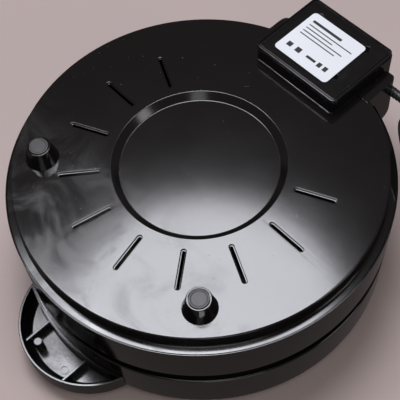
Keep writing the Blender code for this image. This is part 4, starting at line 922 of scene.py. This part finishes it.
def makeLid(s):
    innerR, edge, roof = bodyR - ringSizes["wall"], s["edgeRound"], s["topZ"] - s["wall"]
    # The flange lies as far over the plates as the base's lies under them
    lowZ = 2 * plateSizes["faceZ"] + plateSizes["air"] - flangeZ
    highZ = lowZ + s["flangeT"]
    outer = [(0, s["topZ"]), (bodyR, s["topZ"], edge), (bodyR, s["bottomZ"], ringSizes["rimRound"])]
    outer += [(innerR, s["bottomZ"], 0.0002), (innerR, lowZ), (flangeR, lowZ, 0.0003)]
    inner = [(flangeR, highZ, 0.0003), (innerR, highZ), (innerR, roof, edge - s["wall"]), (0, roof)]
    profile = softened([*outer, *inner], 13, 0.0006)
    lid = makePiece("lidShell", [latheShell(profile)], "lid", "gloss_black", "lid_housing")
    hole = rod(s["lensR"] + 0.0003, -0.002, s["wall"] + 0.001)
    cutAway(lid, [latheShell(hole, 32, (side * s["lensX"], s["lensY"]), roof) for side, word in sides])
    evenShading(lid)


def makeLenses(s):
    top, rise, r = s["topZ"], s["lensRise"], s["lensR"]
    under = top - s["wall"] - 0.0003
    profile = [(0, top + rise), (r * 0.55, top + rise * 0.9, 0.002), (r * 0.9, top + rise * 0.45, 0.001)]
    profile += [(r, top, 0.0004), (r, under), (r + 0.001, under, 0.0002), (r + 0.001, under - 0.001, 0.0002)]
    profile = softened([*profile, (0, under - 0.001)], 5)
    for side, word, color in ((-1, "power", "lens_red"), (1, "ready", "lens_green")):
        lens = latheShell(profile, 40, (side * s["lensX"], s["lensY"]))
        makePiece(f"{word}Lens", [lens], "lid", color, f"{word}_lens")


# Feet

footSizes = {
    "placeR": 0.1283,
    "angle": math.radians(47.1),
    "boreR": 0.0021,
    "rootR": 0.0138,
    "endR": 0.0096,
    "endRound": 0.0012,
    "lift": 0.0004,
    "padR": 0.0079,
    "padT": 0.0013,
    "holeR": 0.0042,
    "holeD": 0.0068,
}


def footPlace(side, s):
    return side * s["placeR"] * math.sin(s["angle"]), axisY - s["placeR"] * math.cos(s["angle"])


def makeFeet(s):
    r, seatR, seatZ, rootZ = s["padR"], s["padR"] + 0.0004, s["padT"] + 0.0003, panelZ - 0.0001
    foot = [(s["boreR"], rootZ), (s["rootR"], rootZ), (s["endR"], s["lift"], s["endRound"])]
    foot += [(seatR, s["lift"], 0.0002), (seatR, seatZ), (s["holeR"], seatZ, 0.0002)]
    foot += [(s["holeR"], s["holeD"]), (s["boreR"], s["holeD"]), (s["boreR"], rootZ)]
    foot = softened(foot, 9, 0.0004)
    # The pad's underside is slightly hollow inside its rim
    pad = [(0, s["padT"]), (r, s["padT"], 0.0002), (r, 0.0, 0.0005), (r - 0.0014, 0.0, 0.0003)]
    pad = softened([*pad, (r - 0.0020, 0.00035, 0.0004), (0, 0.00025)], 6, 0.0003)
    for side, word in sides:
        place, low = footPlace(side, s), word.lower()
        shells = [latheShell(foot, 96, place)]
        makePiece(f"frontFoot{word}", shells, "base", "gloss_black", f"front_foot_{low}")
        makePiece(f"footPad{word}", [latheShell(pad, 64, place)], "base", "foot_rubber", f"foot_pad_{low}")


# Handle

handleSizes = {
    "y": -0.1322 + axisY,
    "r": 0.0625,
    "wall": 0.0022,
    "backWall": 0.0022,
    "rimZ": 0.111,
    "rimRound": 0.0005,
    "floorZ": 0.128,
    "topZ": 0.1312,
    "topRound": 0.0022,
    "floorR": 0.0548,
    "floorRound": 0.0016,
    "gap": 0.0003,
    "ribX": 0.0247,
    "ribT": 0.0022,
    "ribEdgeZ": 0.1175,
    "ribRound": 0.0004,
    "pegX": 0.0146,
    "pegY": -0.1793 + axisY,
    "pegR": 0.0038,
    "pegEndZ": 0.1125,
    "ringX": -0.0146,
    "ringY": -0.1775 + axisY,
    "ringInR": 0.0030,
    "ringOutR": 0.0038,
    "ringH": 0.0007,
}


def handleLoop(frontR, backR, s, front=97, rear=49):
    # Front: an arc about the handle's centre. Back: one along the lid's wall. They meet at their ends
    h = axisY - s["y"]
    reach = math.acos(np.clip((backR**2 - frontR**2 - h**2) / (2 * h * frontR), -1, 1))
    t = np.linspace(-reach, reach, front)
    bow = np.stack([frontR * np.sin(t), s["y"] - frontR * np.cos(t)], 1)
    spread = math.asin(np.clip(frontR * math.sin(reach) / backR, -1, 1))
    a = np.linspace(spread, -spread, rear)[1:-1]
    return np.vstack([bow, np.stack([backR * np.sin(a), axisY - backR * np.cos(a)], 1)])


def makeHandle(s):
    r, rim, fillet, rimZ, floorZ = s["r"], s["rimRound"], s["floorRound"], s["rimZ"], s["floorZ"]
    backR = bodyR + s["gap"]
    innerR = backR + s["backWall"]
    slope = (r - s["wall"] - s["floorR"]) / (floorZ - rimZ)
    quarter = [(1 - math.sin(a), 1 - math.cos(a)) for a in np.radians(np.linspace(0, 90, 6))]
    # From the middle of the top, over its round edge, down the side, round the rim and into the hollow
    steps = [(r - s["topRound"] * i, backR, s["topZ"] - s["topRound"] * j) for i, j in quarter]
    steps.append((r, backR, rimZ + rim * 1.6))
    steps += [(r - rim * j, backR, rimZ + rim * i) for i, j in quarter]
    steps += [(r - (s["wall"] - rim * j), innerR - 0.3 * rim, rimZ + rim * i) for i, j in quarter[::-1]]
    steps.append((s["floorR"] + slope * fillet * 1.3, innerR, floorZ - fillet * 1.3))
    for i, j in quarter:
        front = s["floorR"] + slope * fillet * i - fillet * j
        steps.append((front, innerR + fillet * 0.4 * j, floorZ - fillet * i))
    loops = [handleLoop(front, rear, s) for front, rear, z in steps]
    shells = [loopStack(loops, [z for front, rear, z in steps])]
    # Ribs from the back wall to the front wall
    for side, word in sides:
        x, edge = side * s["ribX"], s["ribRound"]
        rearY = axisY - math.sqrt((backR + s["backWall"] / 2) ** 2 - x**2)
        frontY = s["y"] - math.sqrt((r - s["wall"] * 0.7) ** 2 - (abs(x) + s["ribT"]) ** 2)
        insets = [*[edge * i for i, j in quarter], 0]
        loops = [roundedBox(s["ribT"] / 2 - inset, frontY, rearY, 0.0001, 3, x) for inset in insets]
        shells.append(loopStack(loops, [*[s["ribEdgeZ"] + edge * j for i, j in quarter], floorZ + 0.001]))
    # A peg, and a low ring beside it
    root = floorZ + 0.0008
    peg = [(0, s["pegEndZ"]), (s["pegR"], s["pegEndZ"], 0.0006), (s["pegR"] + 0.0002, root), (0, root)]
    shells.append(latheShell(softened(peg, 6, 0.0003), 48, (s["pegX"], s["pegY"])))
    inner, outer, low, high = s["ringInR"], s["ringOutR"], floorZ - s["ringH"], floorZ + 0.0002
    ring = [(inner, high), (inner, low), (outer, low), (outer, high), (inner, high)]
    shells.append(latheShell(ring, 40, (s["ringX"], s["ringY"])))
    evenShading(makePiece("roundHandle", shells, "lid", "gloss_black", "lid_handle", handleFinish))


# Hinge ears and arms

hingeSizes = {
    "y": 0.166 + axisY,
    "z": 0.053,
    "earInX": 0.0442,
    "earOutX": 0.0575,
    "earTopR": 0.0110,
    "earBottomZ": 0.0150,
    "earRootY": 0.138 + axisY,
    "earTopRootY": 0.150 + axisY,
    "reachY": 0.1725 + axisY,
    "longRound": 0.0015,
    "longReach": 0.0028,
    "lobeZ": (0.024, 0.034),
    "shortFlatY": 0.151 + axisY,
    "shortRound": 0.017,
    "planR": 0.0045,
    "boreR": 0.0028,
    "boreD": 0.0097,
    "earRound": 0.0008,
    "reliefR": 0.005,
    "reliefX": -0.0450,
    "armW": 0.0112,
    "armR": 0.0072,
    "armBack": 0.0062,
    "armTopZ": 0.124,
    "armFootZ": 0.0885,
    "armRound": 0.0007,
    "gap": 0.0003,
}


def sweptAcross(side, x, y, z):
    # A side outline (y, z) repeated at each place across, as a closed form
    grids = np.broadcast_arrays(side * x[None, :], y, z[:, None])
    return shell(np.stack(grids, -1), capped=True)


def makeEar(side, word, s):
    # Held back by the round of the plan at each place across
    long = side < 0
    reachY = s["reachY"] + (s["longReach"] if long else 0)
    inner, outer, low, r = s["earInX"], s["earOutX"], s["earBottomZ"], s["longRound"]
    foot = arc((s["shortFlatY"], low + s["shortRound"]), s["shortRound"], -90, 0, 18)
    if long:
        foot = arc((reachY - r, low + r), r, -90, 0, 12)
    top = arc((s["reachY"] - s["earTopR"], s["z"]), s["earTopR"], 0, 90, 14)
    profile = np.vstack([[[s["earRootY"], low]], foot, top, [[s["earTopRootY"], s["z"] + s["earTopR"]]]])
    bend, half = outer - s["planR"], (outer - inner) / 2
    x = np.concatenate([[inner], bend + s["planR"] * np.sin(np.radians(np.linspace(0, 88, 14)))])
    if long:
        x = inner + half + half * np.sin(np.radians(np.linspace(-90, 88, 33)))
    held = reachY - s["planR"] + np.sqrt(np.maximum(0, s["planR"] ** 2 - np.maximum(0, x - bend) ** 2))
    if long:
        # Low down the long ear ends in a half round as wide as itself
        lobe = reachY - half + np.sqrt(np.maximum(0, half**2 - (x - inner - half) ** 2))
        lobeLow, lobeHigh = s["lobeZ"]
        rise = np.clip((profile[:, 1:] - lobeLow) / (lobeHigh - lobeLow), 0, 1)
        held = held * rise + lobe * (1 - rise)
    form = sweptAcross(side, x, np.minimum(profile[:, :1], held), profile[:, 1])
    ear = makePiece(f"hingeEar{word}", [form], "base", "gloss_black", "base_housing")
    cuts = [laidShell(rod(s["boreR"], -0.001, s["boreD"]), 32, (side * inner, s["y"], s["z"]), (side, 0, 0))]
    if long:
        start = (s["reliefX"], *cordSizes["exit"][1:])
        cuts.append(laidShell(rod(s["reliefR"], -0.001, 0.02), 48, start, (-1, 0, 0)))
    cutAway(ear, cuts)
    roundedEdges(ear, s["earRound"])


def makeArm(side, word, s):
    # Held outside the lid's round wall
    outX = s["earInX"] - s["gap"]
    inX = outX - s["armW"]
    backY, r, topZ, rootY = s["y"] + s["armBack"], s["armR"], s["armTopZ"], s["earTopRootY"]
    crown = r * 0.9
    profile = np.vstack(
        [
            [[backY, s["z"]], [backY, topZ - r]],
            arc((backY - crown, topZ - crown), crown, 0, 80, 9),
            [[rootY, topZ + 0.0002], [rootY, s["armFootZ"]], [s["y"] - r, s["armFootZ"] - r]],
            arc((s["y"], s["z"]), r, 180, 270, 14),
            arc((s["y"], s["z"]), r, 285, 330, 8),
        ]
    )
    x = np.linspace(inX, outX, 9)
    wall = axisY + np.sqrt((bodyR + s["gap"]) ** 2 - x**2)
    form = sweptAcross(side, x, np.maximum(profile[:, :1], wall), profile[:, 1])
    arm = makePiece(f"lidArm{word}", [form], "lid", "gloss_black", f"lid_hinge_arm_{word.lower()}")
    bore = rod(s["boreR"], -0.001, s["armW"] + 0.001)
    cutAway(arm, [laidShell(bore, 32, (side * inX, s["y"], s["z"]), (side, 0, 0))])
    roundedEdges(arm, s["armRound"])


# Strain relief, tie and plug

reliefSizes = {
    "collarR": 0.0047,
    "neckR": 0.0041,
    "headL": 0.003,
    "neckL": 0.0028,
    "collarL": 0.002,
    "ribs": 6,
    "ribR": 0.0046,
    "ribH": 0.0003,
    "taper": 0.0005,
}


def makeRelief(s):
    low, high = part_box("cord_strain_relief")
    length, collarR, neckR, headL = high.x - low.x, s["collarR"], s["neckR"], s["headL"]
    neckEnd = headL + s["neckL"]
    start = neckEnd + s["collarL"]
    points = [(0, 0), (collarR, 0, 0.0004), (collarR, headL, 0.0002), (neckR, headL), (neckR, neckEnd)]
    points += [(collarR, neckEnd, 0.0004), (collarR, start, 0.0002)]
    pitch = (length - start - 0.001) / s["ribs"]
    for i in range(s["ribs"]):
        z = start + i * pitch
        r = s["ribR"] - s["taper"] * i / s["ribs"]
        points += [(r - s["ribH"], z + pitch * 0.12, 0.0001), (r - s["ribH"], z + pitch * 0.38, 0.0001)]
        points += [(r, z + pitch * 0.5, 0.0002), (r, z + pitch * 0.95, 0.0002)]
    profile = softened([*points, (0.0040, length, 0.0005), (0, length)], 4)
    relief = laidShell(profile, 48, (high.x, *cordSizes["exit"][1:]), (-1, 0, 0))
    makePiece("strainRelief", [relief], "base", "satin_black", "cord_strain_relief")


tieSizes = {
    "t": 0.0008,
    "halfW": 0.003,
    "edge": 0.0003,
    "lowZ": 0.0003,
    "room": 0.0004,
    "outR": 0.0038,
    "inR": 0.003,
}


def makeTie(s, tie):
    coil = coilPoints(s)
    across = np.array([math.cos(s["tieAngle"]), math.sin(s["tieAngle"])])
    flat = coil[:, :2] - (s["coilX"], s["coilY"])
    near = (flat / np.linalg.norm(flat, axis=1)[:, None]) @ across > 0.9
    reach, far = (flat[near] @ across).min(), np.linalg.norm(flat[near], axis=1).max()
    half = (far - reach) / 2 + s["radius"] + tie["room"]
    topZ = s["coilLift"] + s["coilStep"] + 2 * s["radius"] + tie["room"]
    t, w, lowZ = tie["t"], tie["halfW"], tie["lowZ"]
    outer = roundedBox(half + t, lowZ, topZ + t, tie["outR"], 10)
    inner = roundedBox(half, lowZ + t, topZ, tie["inR"], 10)
    middle, side = outer * 0.5 + inner * 0.5, w - tie["edge"]
    # Across the band: outside, over the edge, inside and back
    columns = [(outer, -side), (outer, side), (middle, w), (inner, side), (inner, -side), (middle, -w)]
    grid = [np.column_stack([loop[:, 0], np.full(len(loop), z), loop[:, 1]]) for loop, z in columns]
    grid = np.stack(grid, 1)
    u, v = np.array([*across, 0]), np.array([-across[1], across[0], 0])
    centre = np.array([s["coilX"], s["coilY"], 0]) + u * (reach + far) / 2
    band = centre + grid[..., :1] * u + grid[..., 1:2] * v + grid[..., 2:] * np.array([0, 0, 1])
    return makePiece("coilTie", [shell(band, roundColumns=True)], "base", "satin_black", "coil_tie")


plugSizes = {
    "tailR": 0.0042,
    "ringH": 0.0006,
    "pinR": 0.0024,
    "pinRoot": 0.004,
    "sleeveL": 0.013,
    "pinL": 0.023,
    "spacing": 0.019,
    "swellZ": 0.010,
    "swellL": 0.012,
    "steps": (*range(11), 12, 14, 17, 20, 24, 30, 40, 46, 48.5, 49.6, 50),
    "rings": (0, 0, 1, 1, 0, 0, 1, 1, 0, 0, *[1] * 12),
    "ends": (*[1] * 18, 0.985, 0.95, 0.87, 0.8),
}


def makePlug(s, p):
    # Sections along the plug: a round tail with rings, swelling into a flat oblong body
    pinR, spacing, z, end = p["pinR"], p["spacing"], np.array(p["steps"]) / 1000, np.array(p["ends"])
    ring = np.array(p["rings"]) * p["ringH"] + p["tailR"] - p["ringH"]
    grow = np.clip((z - p["swellZ"]) / p["swellL"], 0, 1) ** 1.3
    wide = (ring * (1 - grow) + (spacing / 2 + pinR * 3) * grow) * end
    thick = (ring * (1 - grow) + s["plugFlat"] / 2 * grow) * (1 - (1 - end) * 1.2)
    power = 2 / (2 + 1.6 * grow[None])
    a = np.linspace(0, 2 * math.pi, 64, endpoint=False)[:, None]
    c, d = np.cos(a), np.sin(a)
    x, y = (wide * np.sign(c) * np.abs(c) ** power, thick * np.sign(d) * np.abs(d) ** power)
    root = np.asarray(plugRoot) + plugHeading * s["gap"]
    body = shell(laidAlong(np.stack([x, y, z[None] + 0 * a], -1), root, plugHeading), capped=True)
    pieces = [makePiece("mainsPlug", [body], "base", "cord_black", "plug")]
    tip = softened([(0, 0.0125), (pinR, 0.0125, 0.0001), (pinR, p["pinL"], 0.0014), (0, p["pinL"])], 7)
    sleeveR, sleeveL = pinR - 0.0002, p["sleeveL"]
    sleeve = softened([(0, 0), (sleeveR, 0), (sleeveR, sleeveL, 0.0001), (0, sleeveL)], 3)
    across = np.array(Vector(plugHeading).to_track_quat("Z", "Y").to_matrix())[:, 0]
    for side, word in sides:
        face = root + plugHeading * (s["plugTailL"] + s["plugL"]) + across * side * spacing / 2
        start = face - plugHeading * p["pinRoot"]
        metal, cover = laidShell(tip, 32, start, plugHeading), laidShell(sleeve, 32, start, plugHeading)
        pieces.append(makePiece(f"plugPin{word}", [metal], "base", "steel", f"plug_pin_{word.lower()}"))
        pieces.append(makePiece(f"pinSleeve{word}", [cover], "base", "cord_black"))
    return pieces


makeBottomCover(coverSizes)
makeRearBox(boxSizes)
makeBoxCover(boxSizes)
makeLabel(boxSizes)
makeBoxScrews(screwSizes)
print("bottom cover and rear box")
makeSideRing(ringSizes)
makeLid(lidSizes)
makeLenses(lidSizes)
makePlates(plateSizes)
makeFeet(footSizes)
print("side ring, lid, plates and feet")
makeHandle(handleSizes)
for side, word in sides:
    makeEar(side, word, hingeSizes)
    makeArm(side, word, hingeSizes)
makeRelief(reliefSizes)
print("handle and hinge")

coilTie = makeTie(cordSizes, tieSizes)
plugPieces = makePlug(cordSizes, plugSizes)
mainsCord.data.materials.append(finishes["cord_black"])
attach(mainsCord, "base")
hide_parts("power_cord", "cord_coil")
print("cord, tie and plug")


# Stage, lamps and world

stageSizes = {
    "paper": (0.565, 0.470, 0.445),
    "room": (0.46, 0.385, 0.378),
    "roomStrength": 0.215,
    "backdropZ": 0.1388,
    "floorW": 4.8,
    "backdropW": 2.4,
}


def stagePlane(name, size, height, faceUp):
    # A plane that only the camera sees, and only from its lit side
    half = size / 2
    points = [(-half, -half, height), (half, -half, height), (half, half, height), (-half, half, height)]
    mesh = bpy.data.meshes.new(name)
    mesh.from_pydata(points, [], [[0, 1, 2, 3] if faceUp else [3, 2, 1, 0]])
    plane = newObject(name, mesh)
    paper = stageSizes["paper"]
    f = Finish(name + "Paper", paper, 0.9)
    f.give(Specular_IOR_Level=0.1, Base_Color=f.mixed(f.noise(9, 6), shade(paper, 0.98), shade(paper, 1.02)))
    nodes, links = f.tree.nodes, f.tree.links
    behind = nodes.new("ShaderNodeNewGeometry").outputs["Backfacing"]
    notCamera = f.reckon("SUBTRACT", 1.0, nodes.new("ShaderNodeLightPath").outputs["Is Camera Ray"])
    pick = nodes.new("ShaderNodeMixShader")
    links.new(f.reckon("MAXIMUM", behind, notCamera), pick.inputs["Fac"])
    links.new(f.shader.outputs["BSDF"], pick.inputs[1])
    links.new(nodes.new("ShaderNodeBsdfTransparent").outputs["BSDF"], pick.inputs[2])
    links.new(pick.outputs["Shader"], nodes["Material Output"].inputs["Surface"])
    mesh.materials.append(f.material)


stagePlane("floor", stageSizes["floorW"], 0.0, True)
stagePlane("backdrop", stageSizes["backdropW"], stageSizes["backdropZ"], False)

world = bpy.data.worlds.new("room")
bpy.context.scene.world = world
world.use_nodes = True
room = world.node_tree.nodes["Background"]
room.inputs["Color"].default_value = (*stageSizes["room"], 1)
room.inputs["Strength"].default_value = stageSizes["roomStrength"]


def softLamp(name, s):
    # A lamp that faces its target, of a stated brightness
    data = bpy.data.lights.new(name, "AREA")
    data.shape = s.get("shape", "DISK")
    data.size = s["size"]
    area = math.pi * (s["size"] / 2) ** 2 if data.shape == "DISK" else s["size"] ** 2
    data.energy = s["radiance"] * math.pi * area
    data.color = s.get("color", (1, 1, 1))
    lamp = newObject(name, data)
    direction = Vector(s["direction"]).normalized()
    lamp.location = Vector(s["target"]) + direction * s["distance"]
    lamp.rotation_euler = direction.to_track_quat("Z", "Y").to_euler()
    lamp.visible_camera = False


# The first three are mirrored in the panel and share its target
panelLit = {"color": (0.95, 0.96, 1.03), "target": (0, 0.0056, 0.016)}
lampSizes = {
    "panelLamp": {
        **panelLit, "size": 0.556, "radiance": 9.1, "direction": (0.215, 0.148, -0.990), "distance": 1.024,
    },
    "lowerLamp": {
        **panelLit, "size": 0.32, "radiance": 3.8, "direction": (0.114, -0.007, -1.080), "distance": 1.086,
    },
    "sideLamp": {
        **panelLit, "size": 0.30, "radiance": 8.0, "direction": (0.463, -0.137, -0.980), "distance": 1.092,
    },
    "frontLamp": {
        "size": 0.7, "radiance": 1.4, "direction": (-0.2, -0.2, -1), "target": (0, 0, 0.07), "distance": 1.5
    },
    "lowLamp": {
        "size": 0.7, "radiance": 1.3, "direction": (-0.6, -0.6, -0.5), "target": (0, 0, 0.07), "distance": 1.5
    },
    "roomLamp": {
        "size": 0.55, "radiance": 2.9, "direction": (-0.86, 0.32, -0.41),
        "target": (0, 0, 0.03), "distance": 1.4,
    },
    "topLamp": {
        "size": 0.6, "radiance": 3.8, "direction": (0.405, 0.321, 0.856),
        "target": (0, 0, 0.1), "distance": 1.5,
    },
    "topFill": {
        "shape": "SQUARE",
        "size": 0.8, "radiance": 1.3, "direction": (-0.8, -0.5, 0.45), "target": (0, 0, 0.1), "distance": 1.8,
    },
}
for lampName, sizes in lampSizes.items():
    softLamp(lampName, sizes)
bpy.context.scene.view_settings.view_transform = "Standard"
print("stage and lamps")
